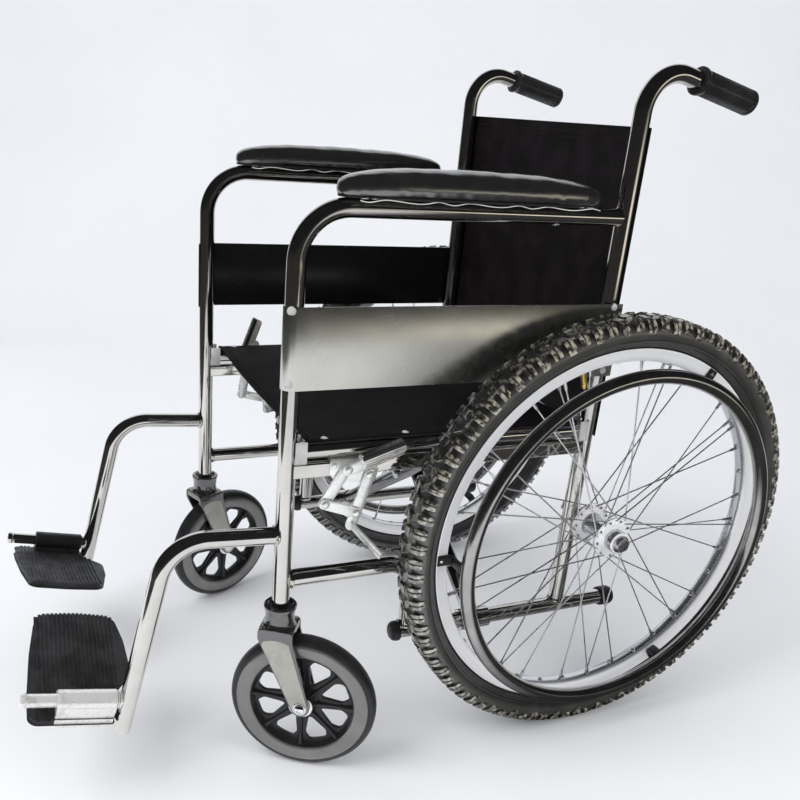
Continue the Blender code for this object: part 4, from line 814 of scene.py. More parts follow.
def make_spokes(name):
    """Hub shell with two flanges, elbowed spokes and their nipples."""
    form = Form()
    shell = [(0.0068, -0.0362), (0.0125, -0.0362), (0.0130, -0.0355), (0.0130, -0.0292), (0.0165, -0.0272),
             (0.0265, -0.0262), (FLANGE_R, -0.0258), (FLANGE_R + 0.0004, -0.0246), (FLANGE_R, -0.0232),
             (0.0240, -0.0224), (0.0165, -0.0200), (0.0140, -0.0150), (0.0132, -0.0060), (0.0132, 0.0060),
             (0.0140, 0.0150), (0.0165, 0.0200), (0.0240, 0.0224), (FLANGE_R, 0.0232),
             (FLANGE_R + 0.0004, 0.0246), (FLANGE_R, 0.0258), (0.0265, 0.0262), (0.0180, 0.0275),
             (0.0158, 0.0295), (0.0154, 0.0320), (0.0154, 0.0408), (0.0148, 0.0420), (0.0136, 0.0428),
             (0.0068, 0.0429)]
    form.add(lathe(shell, 72))
    inset, reach = FLANGE_R - 0.0036, 0.2404
    head = [(0.0, -0.0003), (0.0018, -0.0001), (0.0021, 0.0006), (0.0012, 0.0016)]
    nipple = [(0.0, -0.001), (0.0021, -0.001), (0.0021, 0.0085), (0.0016, 0.0105), (0.00105, 0.0118)]
    for index in range(SPOKES):
        flange, lean, hub_angle, rim_angle = spoke_line(index)
        face = flange * FLANGE_X + lean * (FLANGE_T + 0.0011)
        hole = Vector((face, inset * math.sin(hub_angle), inset * math.cos(hub_angle)))
        rim_x = flange * 0.0022 + lean * 0.0006
        end = Vector((rim_x, reach * math.sin(rim_angle), reach * math.cos(rim_angle)))
        way = (end - hole).normalized()
        elbow = [Vector((flange * FLANGE_X - lean * (FLANGE_T + 0.0016), hole.y, hole.z)),
                 Vector((flange * FLANGE_X + lean * FLANGE_T * 0.3, hole.y, hole.z)),
                 hole + way * 0.0008, hole + way * 0.0034, end - way * 0.018, end]
        form.add(sweep(elbow, 0.00100, 8), 1)
        place = Matrix.Translation(elbow[0]) @ Matrix.Rotation(math.radians(-90.0 * lean), 4, "Y")
        form.add(lathe(head, 10, "z"), 1, place)
        form.add(lathe(nipple, 8, "z"), 1, aim(end, -way))
    return form.make(name, [CHROME, SPOKE])


def make_axle_end(name, side):
    """Hex nuts, washers and threaded end outside the hub, spacer and head inside the frame."""
    form = Form()
    out = 0.304
    form.add(lathe(disc_profile(0.0058, 0.186, 0.3104, 0.0008), 24))
    form.add(lathe(disc_profile(0.0126, out + GAP, out + 0.0018), 36))
    form.add(slab(hexagon(0.0102, 0.3), out + 0.0018, out + 0.0072, 0.0006))
    form.add(slab(hexagon(0.0100, 0.2), 0.1802, 0.1890, 0.0006))
    form.add(lathe(disc_profile(0.0118, 0.1890, 0.1905), 36))
    form.add(lathe([(0.0, 0.2213), (0.0098, 0.2213), (0.0100, 0.2220), (0.0100, 0.2243), (0.0, 0.2245)], 32))
    matrix = Matrix.Translation((0.0, AXLE.y, AXLE.z))
    return form.make(name, [ZINC], matrix if side > 0 else matrix @ MIRROR)


def make_handrim(name):
    """The push rim and the straps that hold it to the wheel rim."""
    form = Form()
    stand = HANDRIM_X - WHEEL_X
    form.add(ring(circle(HANDRIM_TUBE_R, 24, HANDRIM_R, stand), WHEEL_STEPS))
    low = RIM_HALF_W + 0.0002
    half_width, half_thick, half_edge = 0.007, 0.0015, 0.0011
    line = [(low, 0.0250), (low, 0.0110), (low + 0.0015, 0.0070), (low + 0.006, 0.0056),
            (stand - 0.008, 0.0056), (stand - 0.004, 0.0082)]
    line = [Vector((out, 0.0, HANDRIM_R + up)) for out, up in line]
    points = []
    for i, point in enumerate(line):
        run = (line[min(i + 1, len(line) - 1)] - line[max(i - 1, 0)]).normalized()
        normal = Vector((-run.z, 0.0, run.x))
        for w, h in ((-1, -1), (-0.92, -1), (0.92, -1), (1, -1), (1, 1), (0.92, 1), (-0.92, 1), (-1, 1)):
            lift = half_thick * h if abs(w) < 1 else half_edge * h
            points.append(tuple(point + normal * lift + Vector((0, half_width * w, 0))))
    place = Matrix.Translation((low + 0.0012, 0.0, HANDRIM_R + 0.0190)) @ Matrix.Rotation(math.pi / 2, 4, "Y")
    for index in range(HANDRIM_STRAPS):
        turn = Matrix.Rotation(-math.radians(30.0) - 2 * math.pi * index / HANDRIM_STRAPS, 4, "X")
        form.add((np.array(points), tube_faces(len(line), 8)), 1, turn)
        form.add(screw_head(0.0034, 0.0016), 2, turn @ place)
    return form.make(name, [HANDRIM, RUBBER, ZINC])


def make_wheels():
    """Both rear wheels, each with its axle bolt."""
    for side_name, side in SIDES.items():
        place = Matrix.Translation((side * WHEEL_X, AXLE.y, AXLE.z))
        pieces = ((make_tyre(f"knobby_tyre_{side_name}"), "tyre", "tyre_rubber"),
                  (make_rim(f"chrome_rim_{side_name}"), "wheel_rim", "rim_chrome"),
                  (make_spokes(f"laced_hub_{side_name}"), "spoked_hub", "rim_chrome"),
                  (make_handrim(f"push_rim_{side_name}"), "handrim", "handrim_plastic"))
        for item, node, slot in pieces:
            if side < 0:
                mirrored(item)
            item.data.transform(place)
            finish_piece(item, f"wheel_{side_name}", [f"{node}_{side_name}"], slot)
        axle = make_axle_end(f"axle_bolt_{side_name}", side)
        finish_piece(axle, f"{side_name}_frame", [f"wheel_axle_{side_name}"], "zinc")


# Side frames

def fall_line():
    """Where the footrest hanger bends, and the y of its foot and of the footplate's pin."""
    fall = HANGER_Z + 0.06 * (FRONT_Y - HANGER_CORNER_Y)
    foot_y = HANGER_CORNER_Y - math.tan(HANGER_LEAN) * (fall - HANGER_FOOT_Z)
    pin_y = HANGER_CORNER_Y - math.tan(HANGER_LEAN) * (fall - PIN_Z)
    return fall, foot_y, pin_y


def handle_line(x):
    """The push handle's corner and the way it runs from there."""
    return Vector((x, POST_Y, HANDLE_TOP_Z)), Vector((0.0, math.cos(HANDLE_SLOPE), -math.sin(HANDLE_SLOPE)))


def make_frame(side_name, side):
    """One side frame: arm tube, back post, low rail, ground tube, cap, brake bar and footrest hanger."""
    x = side * HALF_WIDTH
    body = f"{side_name}_frame"
    r = TUBE_R
    front, post, low, bottom, cap, bar, hanger = (Form() for _ in range(7))

    path = arc_path([(x, FRONT_Y, 0.2032), (x, FRONT_Y, ARM_Z), (x, POST_Y - 0.008, ARM_Z)], 0.060, 20)
    front.add(sweep(path, r, TUBE_SIDES))

    corner, along = handle_line(x)
    path = arc_path([(x, POST_Y, BOTTOM_Z + 0.008), corner, corner + along * (GRIP_START + 0.08)], 0.046, 18)
    post.add(sweep(path, r, TUBE_SIDES))
    bush = [(0.0066, -0.0190), (0.0122, -0.0190), (0.0130, -0.0182), (0.0130, 0.0104), (0.0122, 0.0112),
            (0.0066, 0.0112)]
    post.add(lathe(bush, 32), 0, Matrix.Translation((x, AXLE.y, AXLE.z)) @ Matrix.Scale(side, 4, (1, 0, 0)))
    post.add(weld_bead((x, POST_Y, BOTTOM_Z + 0.0115), (0, 0, 1), r + 0.0006, 1.0))

    path = [(x, FRONT_Y + 0.008, LOW_Z), (x, LOW_DROP_Y, LOW_Z), (x, LOW_DROP_Y, BOTTOM_Z + 0.008)]
    low.add(sweep(arc_path(path, 0.036, 14), r, TUBE_SIDES))
    low.add(weld_bead((x, FRONT_Y + r + 0.0004, LOW_Z), (0, 1, 0), r + 0.0004, 2.0))
    low.add(weld_bead((x, LOW_DROP_Y, BOTTOM_Z + r + 0.0004), (0, 0, 1), r + 0.0004, 3.0))

    bottom.add(sweep([(x, BOTTOM_FRONT_Y, BOTTOM_Z), (x, BOTTOM_REAR_Y - 0.002, BOTTOM_Z)], r, TUBE_SIDES))
    plug = [(0.0114, 0.0), (0.0134, 0.0), (0.0138, -0.0015), (0.0137, -0.0050), (0.0126, -0.0088),
            (0.0096, -0.0114), (0.0050, -0.0124), (0.0, -0.0125)]
    bottom.add(lathe(plug[::-1], 36, "y"), 1, Matrix.Translation((x, BOTTOM_FRONT_Y, BOTTOM_Z)))

    place = Matrix.Translation((x, BOTTOM_REAR_Y - 0.014, BOTTOM_Z))
    profile = [(0.0113, 0.0), (0.0132, 0.0), (0.0138, 0.0006), (0.0140, 0.0020), (0.0140, 0.0150),
               (0.0136, 0.0180), (0.0124, 0.0204), (0.0100, 0.0217), (0.0, 0.0220)]
    cap.add(lathe(profile, 36, "y"), 0, place)
    for y in (0.004, 0.008):
        cap.add(ring([(0.0139, y - 0.0008), (0.01425, y), (0.0139, y + 0.0008)], 36, "y"), 0, place)

    half = 0.0095
    left, right, under, over = x - half, x + half, BAR_Z - half, BAR_Z + half
    square = [(left, under), (right, under), (right, over), (left, over)]
    bar.add(slab(rounded_outline(square, 0.0022, 5), FRONT_Y + 0.004, POST_Y - 0.004, 0.0001, "y"))

    fall, foot_y, pin_y = fall_line()
    path = [(x, FRONT_Y - 0.008, HANGER_Z), (x, HANGER_CORNER_Y, fall), (x, foot_y, HANGER_FOOT_Z)]
    hanger.add(sweep(arc_path(path, 0.055, 18), r, TUBE_SIDES))
    pin_way = Vector((0.0, -math.cos(PIN_RISE), math.sin(PIN_RISE)))
    pin_place = aim((x, pin_y, PIN_Z), pin_way)
    pin = [(0.0, -0.006), (0.0080, -0.006), (0.0080, 0.1175), (0.0087, 0.1182), (0.0090, 0.1200),
           (0.0084, 0.1228), (0.0062, 0.1246), (0.0030, 0.1250), (0.0, 0.1250)]
    pin_mat = 1 if side > 0 else 0
    hanger.add(lathe(pin, 28, "z"), pin_mat, pin_place)
    for z in (0.0095, 0.0120):
        washer = [(0.0079, z), (0.0105, z + 0.0003), (0.0105, z + 0.0018), (0.0079, z + 0.0021)]
        hanger.add(ring(washer, 28, "z"), pin_mat, pin_place)
    hanger.add(weld_bead((x, FRONT_Y - r - 0.0004, HANGER_Z), (0, 1, 0), r + 0.0004, 4.0))
    hanger.add(weld_bead(Vector((x, pin_y, PIN_Z)) + pin_way * r, pin_way, 0.0082, 5.0, 0.0015))

    for form, materials, label, node, slot in (
            (front, [ENAMEL], "arm_tube", "front_tube", "frame_paint"),
            (post, [ENAMEL], "back_post", "rear_post", "frame_paint"),
            (low, [ENAMEL], "low_rail", "lower_rail", "frame_paint"),
            (bottom, [ENAMEL, RUBBER], "ground_tube", "bottom_rail", "frame_paint"),
            (cap, [RUBBER], "end_cap", "rear_cap", "black_rubber"),
            (bar, [ENAMEL], "square_bar", "side_bar", "frame_paint"),
            (hanger, [ENAMEL, SILVER], "foot_hanger", "footrest_hanger", "frame_paint")):
        finish_piece(form.make(f"{label}_{side_name}", materials, slope), body, [f"{node}_{side_name}"], slot)
    make_saddles(side_name, x, body)
    make_grip(side_name, x, body)
    make_guard_panel(side_name, side, body)


def make_saddles(side_name, x, body):
    """The white cradles that the seat rail drops into."""
    half, inner, rim_z = 0.0145, TUBE_R + GAP, 0.4470
    cup = [(x - half, rim_z), (x - half, 0.4215), (x - half + 0.0025, 0.4190), (x + half - 0.0025, 0.4190),
           (x + half, 0.4215), (x + half, rim_z), (x + inner, rim_z), (x + inner, SEAT_RAIL_Z)]
    cup += [(x + inner * math.cos(a), SEAT_RAIL_Z - inner * math.sin(a))
            for a in np.linspace(0.2, math.pi - 0.2, 12)]
    cup += [(x - inner, SEAT_RAIL_Z), (x - inner, rim_z)]
    for label, tube_y, way in (("front", FRONT_Y, 1), ("rear", POST_Y, -1)):
        low, high = sorted((tube_y + way * 0.0055, tube_y + way * (TUBE_R + 0.0085)))
        form = Form().add(slab(cup, low, high, 0.0004, "y"))
        item = form.make(f"{label}_cradle_{side_name}", [NYLON], slope)
        finish_piece(item, body, [f"{label}_saddle_{side_name}"], "white_nylon")


def make_grip(side_name, x, body):
    """The hand grip with its collar and fine flutes."""
    corner, along = handle_line(x)
    place = aim(corner + along * GRIP_START, along)
    profile = [(0.0113, 0.0), (0.0152, 0.0), (0.0168, 0.0008), (0.0170, 0.0022), (0.0170, 0.0046),
               (0.0165, 0.0058), (0.0150, 0.0068), (0.0145, 0.0090), (0.0148, 0.0120), (0.0150, 0.0300),
               (0.0151, 0.0560), (0.0150, 0.0820), (0.0146, 0.0848), (0.0155, 0.0862), (0.0156, 0.0900),
               (0.0146, 0.0918), (0.0110, 0.0925), (0.0, 0.0925)]
    form = Form().add(lathe(profile, 40, "z"), 0, place)
    for x_flute, y_flute in circle(0.0149, 36):
        spine = [Vector((x_flute, y_flute, z)) for z in np.linspace(0.0115, 0.0838, 5)]
        form.add(sweep(spine, 0.00045, 6), 0, place)
    item = form.make(f"hand_grip_{side_name}", [GRIP], slope)
    finish_piece(item, body, [f"push_grip_{side_name}"], "black_rubber")


def make_guard_panel(side_name, side, body):
    """The skirt guard: a thin sheet, wrapped round the front tube, with capped screws."""
    form = Form()
    inner = TUBE_R + GAP
    outer = inner + 0.0016
    rear = POST_Y + 0.0135 - FRONT_Y
    wrap = math.radians(95.0)
    plan = [(inner * math.cos(a), -inner * math.sin(a)) for a in np.linspace(wrap, 0.0, 13)]
    plan += [(inner, rear * share) for share in np.linspace(0.04, 1.0, 24)]
    plan += [(outer, rear * share) for share in np.linspace(1.0, 0.04, 24)]
    plan += [(outer * math.cos(a), -outer * math.sin(a)) for a in np.linspace(0.0, wrap, 13)]
    place = Matrix.Translation((HALF_WIDTH, FRONT_Y, 0.0))
    form.add(slab(plan[::-1], 0.510, 0.606, 0.0005, "z"), 0, place)
    for y, angle in ((0.0, math.radians(32.0)), (POST_Y - FRONT_Y, 0.0)):
        way = Vector((math.cos(angle), -math.sin(angle), 0.0))
        for z in (0.518, 0.6015):
            spot = place @ (Vector((0.0, y, z)) + way * (outer - 0.0002))
            form.add(screw_head(0.0046, 0.0022, 0.0052), 1, aim(spot, way))
    item = form.make(f"side_guard_{side_name}", [GUARD, NYLON])
    if side < 0:
        mirrored(item)
    item.data.transform(slope)
    finish_piece(item, body, [f"skirt_guard_{side_name}"], "guard_sheet")


# Arm pads

def bake(item):
    """Turns an object's modifiers into plain mesh."""
    graph = bpy.context.evaluated_depsgraph_get()
    mesh = bpy.data.meshes.new_from_object(item.evaluated_get(graph))
    old = item.data
    item.modifiers.clear()
    item.data = mesh
    bpy.data.meshes.remove(old)


def coordinates(mesh):
    """The mesh's points as rows of an array."""
    points = np.empty(len(mesh.vertices) * 3)
    mesh.vertices.foreach_get("co", points)
    return points.reshape(-1, 3)


def swell(item, pressure, cap, held_below):
    """Blows the cover up with cloth simulation, each point no further than cap from where it started."""
    remesh = item.modifiers.new("even", "REMESH")
    remesh.mode = "VOXEL"
    remesh.voxel_size = 0.0042
    bake(item)
    start = coordinates(item.data)
    held = item.vertex_groups.new(name="held")
    held.add([int(i) for i in np.nonzero(start[:, 2] < held_below)[0]], 1.0, "REPLACE")
    cover = item.modifiers.new("cover", "CLOTH")
    cover.settings.quality = 6
    cover.settings.mass = 0.25
    cover.settings.tension_stiffness = 12.0
    cover.settings.compression_stiffness = 6.0
    cover.settings.use_pressure = True
    cover.settings.uniform_pressure_force = pressure
    cover.settings.effector_weights.gravity = 0.0
    cover.settings.vertex_group_mass = "held"
    scene = bpy.context.scene
    for frame_number in range(1, PAD_FRAMES + 1):
        scene.frame_set(frame_number)
    graph = bpy.context.evaluated_depsgraph_get()
    end = coordinates(item.evaluated_get(graph).data)
    shift = end - start
    length = np.linalg.norm(shift, axis=1, keepdims=True)
    end = start + shift * np.minimum(1.0, cap / np.maximum(length, 1e-9))
    item.modifiers.clear()
    item.vertex_groups.clear()
    item.data.vertices.foreach_set("co", end.ravel())
    item.data.update()
    scene.frame_set(1)


def pad_section(share, swollen):
    """Place along, end factor, half width and height of the pad at a share of its length from -1 to 1."""
    s = math.sin(share * math.pi / 2)
    end = max(0.0, 1 - abs(s) ** 5.5) ** 0.5
    half_w = (0.0285 - swollen) * (0.18 + 0.82 * end) * (1 - 0.05 * s * s)
    height = (0.0345 - swollen) * (1 - 0.10 * s * s) * (0.42 + 0.58 * end)
    return s, end, half_w, height


def make_pad(side_name, side):
    """A vinyl covered arm pad: crowned, round at the ends, gathered and stapled under its lower edge."""
    x = side * HALF_WIDTH
    rows, columns = 110, 48
    swollen = 0.0022
    middle = (PAD_FRONT_Y + PAD_REAR_Y) / 2
    half_length = (PAD_REAR_Y - PAD_FRONT_Y) / 2 - swollen
    low = ARM_Z + TUBE_R + GAP
    points = []
    for row in range(rows):
        s, end, half_w, height = pad_section(-1 + 2 * row / (rows - 1), swollen)
        for column in range(columns):
            angle = 2 * math.pi * column / columns
            c, d = math.cos(angle), math.sin(angle)
            px = half_w * math.copysign(abs(c) ** 0.75, c)
            pz = math.copysign(abs(d) ** (0.62 if d > 0 else 0.35), d)
            level = PAD_BELT + ((height - PAD_BELT) if pz > 0 else PAD_BELT) * pz
            gather = math.sin(row * 1.9 + 1.3 * math.sin(row * 0.7)) * math.exp(-((pz + 0.55) / 0.4) ** 2)
            fold = 0.0011 * gather * end if d < 0.2 else 0.0
            points.append((x + px * (1 + fold * 18), middle + half_length * s, low + level))
    form = Form().add((np.array(points), flipped(tube_faces(rows, columns))))
    item = form.make(f"arm_cushion_{side_name}", [VINYL], None, 60.0)
    swell(item, 4.0, 0.005, low + 0.0022)
    settle_pad(item, low)
    item.data.transform(slope)
    item.data.polygons.foreach_set("use_smooth", [True] * len(item.data.polygons))
    smooth = item.modifiers.new("smooth", "SUBSURF")
    smooth.levels = smooth.render_levels = 1
    finish_piece(item, f"{side_name}_frame", [f"armrest_pad_{side_name}"], "pad_vinyl")
    make_board(side_name, x, low, middle, half_length)


def make_board(side_name, x, low, middle, half_length):
    """The board under a pad: staples, the vinyl's gathered edge and the screws under the tube."""
    board = Form()
    outline = []
    for way in (1, -1):
        for share in np.linspace(-0.97 * way, 0.97 * way, 40):
            s, _, half_w, _ = pad_section(share, 0.0)
            outline.append((x + way * (half_w - 0.004), middle + (half_length - 0.001) * s))
    board.add(slab(outline, low, low + 0.0030, 0.0006, "z"), 0)
    for way in (-1, 1):
        staple_x = x + way * 0.0212
        for index in range(24):
            y = middle + half_length * 0.86 * (index / 11.5 - 1)
            board.add(box((staple_x - 0.0016, y - 0.0042, low - 0.0002),
                          (staple_x - 0.0009, y + 0.0042, low + 0.0012), 0.0001), 1)
    for y in (0.1120, 0.2070):
        place = Matrix.Translation((x, y, ARM_Z - TUBE_R + 0.0004)) @ Matrix.Rotation(math.pi, 4, "X")
        board.add(screw_head(0.0046, 0.0022, 0.0056), 1, place)
    for way in (-1, 1):
        edge = [Vector((x + way * (0.0228 + 0.0008 * math.sin(k * 0.61)), y,
                        low - 0.0016 - 0.0014 * math.sin(k * 0.43 + 0.8 * math.sin(k * 0.21))))
                for k, y in enumerate(np.linspace(PAD_FRONT_Y + 0.020, PAD_REAR_Y - 0.012, 90))]
        board.add(sweep(edge, 0.00055, 6), 2)
    item = board.make(f"arm_board_{side_name}", [RUBBER, ZINC, BACKING], slope)
    finish_piece(item, f"{side_name}_frame", (), "pad_vinyl")


def settle_pad(item, low):
    """Flattens the underside on the tube and lays the crown's soft waves over the top."""
    points = coordinates(item.data)
    y, z = points[:, 1], points[:, 2]
    lift = np.clip((z - low - 0.014) / 0.02, 0, 1)
    wave = 0.0005 * np.sin(52 * y + 30 * points[:, 0]) * np.sin(131 * y - 60 * points[:, 0] + 1.0)
    points[:, 2] = np.maximum(z + wave * lift, low)
    item.data.vertices.foreach_set("co", points.ravel())
    item.data.update()


# Brace, seat and back

def make_brace(name, side, y, node, body):
    """One arm of the scissor, with its sleeve at the foot and its seat rail at the head."""
    form = Form()
    foot = Vector((side * HALF_WIDTH, y, BOTTOM_Z))
    head = Vector((-side * HALF_WIDTH, y, SEAT_RAIL_Z))
    along = (head - foot).normalized()
    form.add(sweep([foot + along * 0.012, head - along * 0.006], TUBE_R, TUBE_SIDES))
    sleeve = [(TUBE_R + GAP, -0.023), (0.0142, -0.023), (0.0150, -0.0222), (0.0150, 0.0222), (0.0142, 0.023),
              (TUBE_R + GAP, 0.023)]
    form.add(lathe(sleeve, 36, "y"), 0, Matrix.Translation(foot))
    front = FRONT_Y + TUBE_R + 0.003
    length = POST_Y - TUBE_R - 0.003 - front
    rail = [(0.0, 0.0), (0.0098, 0.0), (0.0110, 0.0010), (0.0110, length - 0.001), (0.0098, length),
            (0.0, length)]
    form.add(lathe(rail, 32, "y"), 0, Matrix.Translation((head.x, front, head.z)))
    form.add(weld_bead(foot + along * 0.0155, along, TUBE_R + 0.0004, 6.0))
    form.add(weld_bead(head - along * 0.0125, along, TUBE_R + 0.0004, 7.0))
    finish_piece(form.make(name, [ENAMEL], slope), body, [node], "frame_paint")


def make_brace_bolt():
    """The bolt at the scissor's crossing, its domed head in front and its nut behind."""
    form = Form()
    z = (BOTTOM_Z + SEAT_RAIL_Z) / 2
    front = BRACE_Y - BRACE_PITCH / 2 - TUBE_R - GAP
    rear = BRACE_Y + BRACE_PITCH / 2 + TUBE_R + GAP
    shank = lathe(disc_profile(0.0040, front - 0.002, rear + 0.003), 20, "y")
    form.add(shank, 0, Matrix.Translation((0, 0, z)))
    dome = [(0.0, -0.0052), (0.0040, -0.0050), (0.0068, -0.0036), (0.0080, -0.0012), (0.0081, -0.0001)]
    form.add(lathe(dome, 28, "y"), 0, Matrix.Translation((0, front, z)))
    form.add(slab(hexagon(0.0072, 0.0, z), rear, rear + 0.0055, 0.0005, "y"), 0)
    finish_piece(form.make("centre_bolt", [ZINC], slope), "brace_b", ["brace_bolt"], "zinc")


def shell_of(rows_of_points, thickness, normals_out=True):
    """A sheet with thickness from a grid of points, closed at its edges."""
    grid = np.array(rows_of_points, float)
    rows, columns = grid.shape[:2]
    normal = np.cross(np.gradient(grid, axis=1), np.gradient(grid, axis=0))
    normal /= np.linalg.norm(normal, axis=2, keepdims=True)
    other = grid + normal * (thickness if normals_out else -thickness)
    points = np.vstack([grid.reshape(-1, 3), other.reshape(-1, 3)])
    count = rows * columns
    faces = []
    for a, b, c, d in grid_faces(rows, columns, False, False):
        faces.append((d, c, b, a))
        faces.append((a + count, b + count, c + count, d + count))
    edge = list(range(columns)) + [r * columns + columns - 1 for r in range(1, rows)]
    edge += [(rows - 1) * columns + i for i in range(columns - 2, -1, -1)]
    edge += [r * columns for r in range(rows - 2, 0, -1)]
    for a, b in zip(edge, edge[1:] + edge[:1]):
        faces.append((a, b, b + count, a + count))
    return points, faces if normals_out else flipped(faces)


def cloth_line(wrap, radius):
    """The line of a cloth over the span and round both rails.

    Each point is its reach before the wrap, its share of the span, its wrap angle, its place across
    and its lift.
    """
    steps = 44
    half = [(HALF_WIDTH * index / steps, index / steps, 0.0) for index in range(steps + 1)]
    half += [(HALF_WIDTH, 1.0, wrap * index / WRAP_STEPS) for index in range(1, WRAP_STEPS + 1)]
    full = [(-reach, share, -turn) for reach, share, turn in reversed(half[1:])] + half
    line = []
    for reach, share, turn in full:
        away = reach + math.copysign(radius * math.sin(abs(turn)), reach) if turn else reach
        line.append((reach, share, turn, away, radius * math.cos(turn)))
    return line


def cloth_grid(line, low, high, point):
    """Rows of points from low to high, each row the whole line."""
    grid = []
    for row in range(CLOTH_ROWS + 1):
        v = row / CLOTH_ROWS
        grid.append([point(low + (high - low) * v, v, *entry) for entry in line])
    return grid


def pull(share, reach, off, spread):
    """How strongly a fixing at the cloth's side pulls, off it along the rail and at a share of the span."""
    return math.exp(-((1 - share) / reach) ** 2) * math.exp(-(off / spread) ** 2) * (1 - share ** 8)


def stitches(line, pitch, lift):
    """Short raised threads along a line."""
    form, radius = Form(), 0.00045
    lengths = [0.0]
    for a, b in zip(line, line[1:]):
        lengths.append(lengths[-1] + (b - a).length)
    stack = np.array([tuple(p) for p in line])
    rise = Vector(lift) * radius
    for place in np.arange(pitch, lengths[-1] - pitch, pitch):
        ends = (place - pitch * 0.36, place + pitch * 0.36)
        a, b = (Vector([np.interp(end, lengths, stack[:, axis]) for axis in range(3)]) for end in ends)
        form.add(sweep([a - rise, (a + b) / 2 + rise, b - rise], radius, 5))
    return np.vstack(form.points), form.faces


def make_sling():
    """The seat cloth, stretched between the rails and wrapped over them, with hems, creases and screws."""
    radius = TUBE_R + 2 * GAP
    wrap = math.radians(40.0)

    def point(y, v, reach, share, turn, away, height):
        sag = 0.009 * (1 - share * share) ** 1.4 * (0.74 + 0.26 * (1 - (2 * v - 1) ** 2))
        crease = 0.0
        if not turn:
            crease = 0.0006 * math.sin(reach * 55 + v * 7) * math.sin(v * 31 + reach * 9) * (1 - share ** 4)
            crease -= 0.0010 * sum(pull(share, 0.16, y - screw, 0.020) for screw in SLING_SCREWS)
        return away, y, SEAT_RAIL_Z + height - sag + crease

    grid = cloth_grid(cloth_line(wrap, radius), SEAT_FRONT, SEAT_REAR, point)
    form = Form()
    form.add(shell_of(grid, 0.0020), 0)
    out, up = (radius + 0.0020) * math.sin(wrap * 0.90), (radius + 0.0020) * math.cos(wrap * 0.90)
    for way in (-1, 1):
        ridge = [Vector((HALF_WIDTH * way + way * out, y, SEAT_RAIL_Z + up))
                 for y in np.linspace(SEAT_FRONT, SEAT_REAR, 40)]
        form.add(sweep(ridge, 0.0008, 8), 1)
    for row, inset in ((0, 0.0012), (CLOTH_ROWS, -0.0012)):
        hem = [Vector(place) + Vector((0.0, inset, 0.0018)) for place in grid[row][6:-6]]
        form.add(sweep(hem, 0.0013, 8), 0)
        seam = [Vector(place) + Vector((0.0, inset * 8.0, 0.0021)) for place in grid[row][8:-8]]
        form.add(stitches(seam, 0.0034, (0, 0, 1)), 1)
    item = form.make("seat_cloth", [CLOTH, HEM], slope, 50.0)
    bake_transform(item)
    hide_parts("seat_sling")
    turn = math.radians(-10.0)
    for label, way, body in (("a", -1, "brace_a"), ("b", 1, "brace_b")):
        heads = Form()
        direction = Vector((way * math.sin(turn), 0.0, math.cos(turn)))
        for y in SLING_SCREWS:
            spot = Vector((way * HALF_WIDTH, y, SEAT_RAIL_Z)) + direction * (radius + 0.0020)
            heads.add(screw_head(0.0032, 0.0016, 0.0052), 0, aim(spot, direction))
        finish_piece(heads.make(f"seat_screws_{label}", [NYLON], slope), body, (), "zinc")


def make_back():
    """The back cloth between the posts: wrapped round them, hemmed along its ends and seamed at the sides.

    Its wrapped right edge is a piece of its own, which stays on the right post when the chair folds.
    """
    radius = TUBE_R + 2 * GAP
    wrap = math.radians(47.0)

    def point(z, v, reach, share, turn, away, height):
        bow = 0.012 * (1 - share * share) ** 1.4 * (0.70 + 0.30 * math.sin(math.pi * v))
        crease = 0.0
        if not turn:
            crease = 0.0008 * math.sin(reach * 43 + v * 9) * math.sin(v * 21 + reach * 7) * (1 - share ** 4)
            crease += 0.0010 * sum(pull(share, 0.18, v - place, 0.05) for place in (0.08, 0.36, 0.64, 0.92))
        return away, POST_Y + height + bow + crease, z

    grid = cloth_grid(cloth_line(wrap, radius), BACK_LOW, BACK_HIGH, point)
    edge = Form().add(shell_of([current[:WRAP_STEPS + 1] for current in grid], 0.0022, False), 0)
    finish_piece(edge.make("back_cloth_edge", [CLOTH], slope, 50.0), "right_frame", (), "sling_fabric")
    grid = [current[WRAP_STEPS:] for current in grid]
    form = Form()
    form.add(shell_of(grid, 0.0022, False), 0)
    face = -0.0001
    for row, inset in ((0, 0.0014), (CLOTH_ROWS, -0.0014)):
        hem = [Vector(place) + Vector((0.0, 0.0011, inset)) for place in grid[row][1:-4]]
        form.add(sweep(hem, 0.0016, 8), 0)
        for gap in (8.0, 13.0):
            seam = [Vector(place) + Vector((0.0, face, inset * gap)) for place in grid[row][1:-6]]
            form.add(stitches(seam, 0.0036, (0, -1, 0)), 1)
    for way, column in ((-1, 1), (1, len(grid[0]) - 10)):
        seam = [Vector(current[column]) + Vector((way * -0.006, face, 0.0)) for current in grid[2:-2]]
        form.add(stitches(seam, 0.0036, (0, -1, 0)), 1)
    item = form.make("back_cloth", [CLOTH, HEM], slope, 50.0)
    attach(item, "left_frame")
    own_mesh(item)
    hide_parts("back_upholstery")


# Casters, built about the swivel axis with the wheel trailing along +Y

def caster_axle_height(side_name):
    """How high the caster's axle is on its yoke, so that the turned wheel stands on the floor."""
    y = FRONT_Y + CASTER_TRAIL * math.cos(SWIVEL[side_name])
    return AXLE.z + (CASTER_R - AXLE.z + (y - AXLE.y) * math.sin(PITCH)) / math.cos(PITCH)


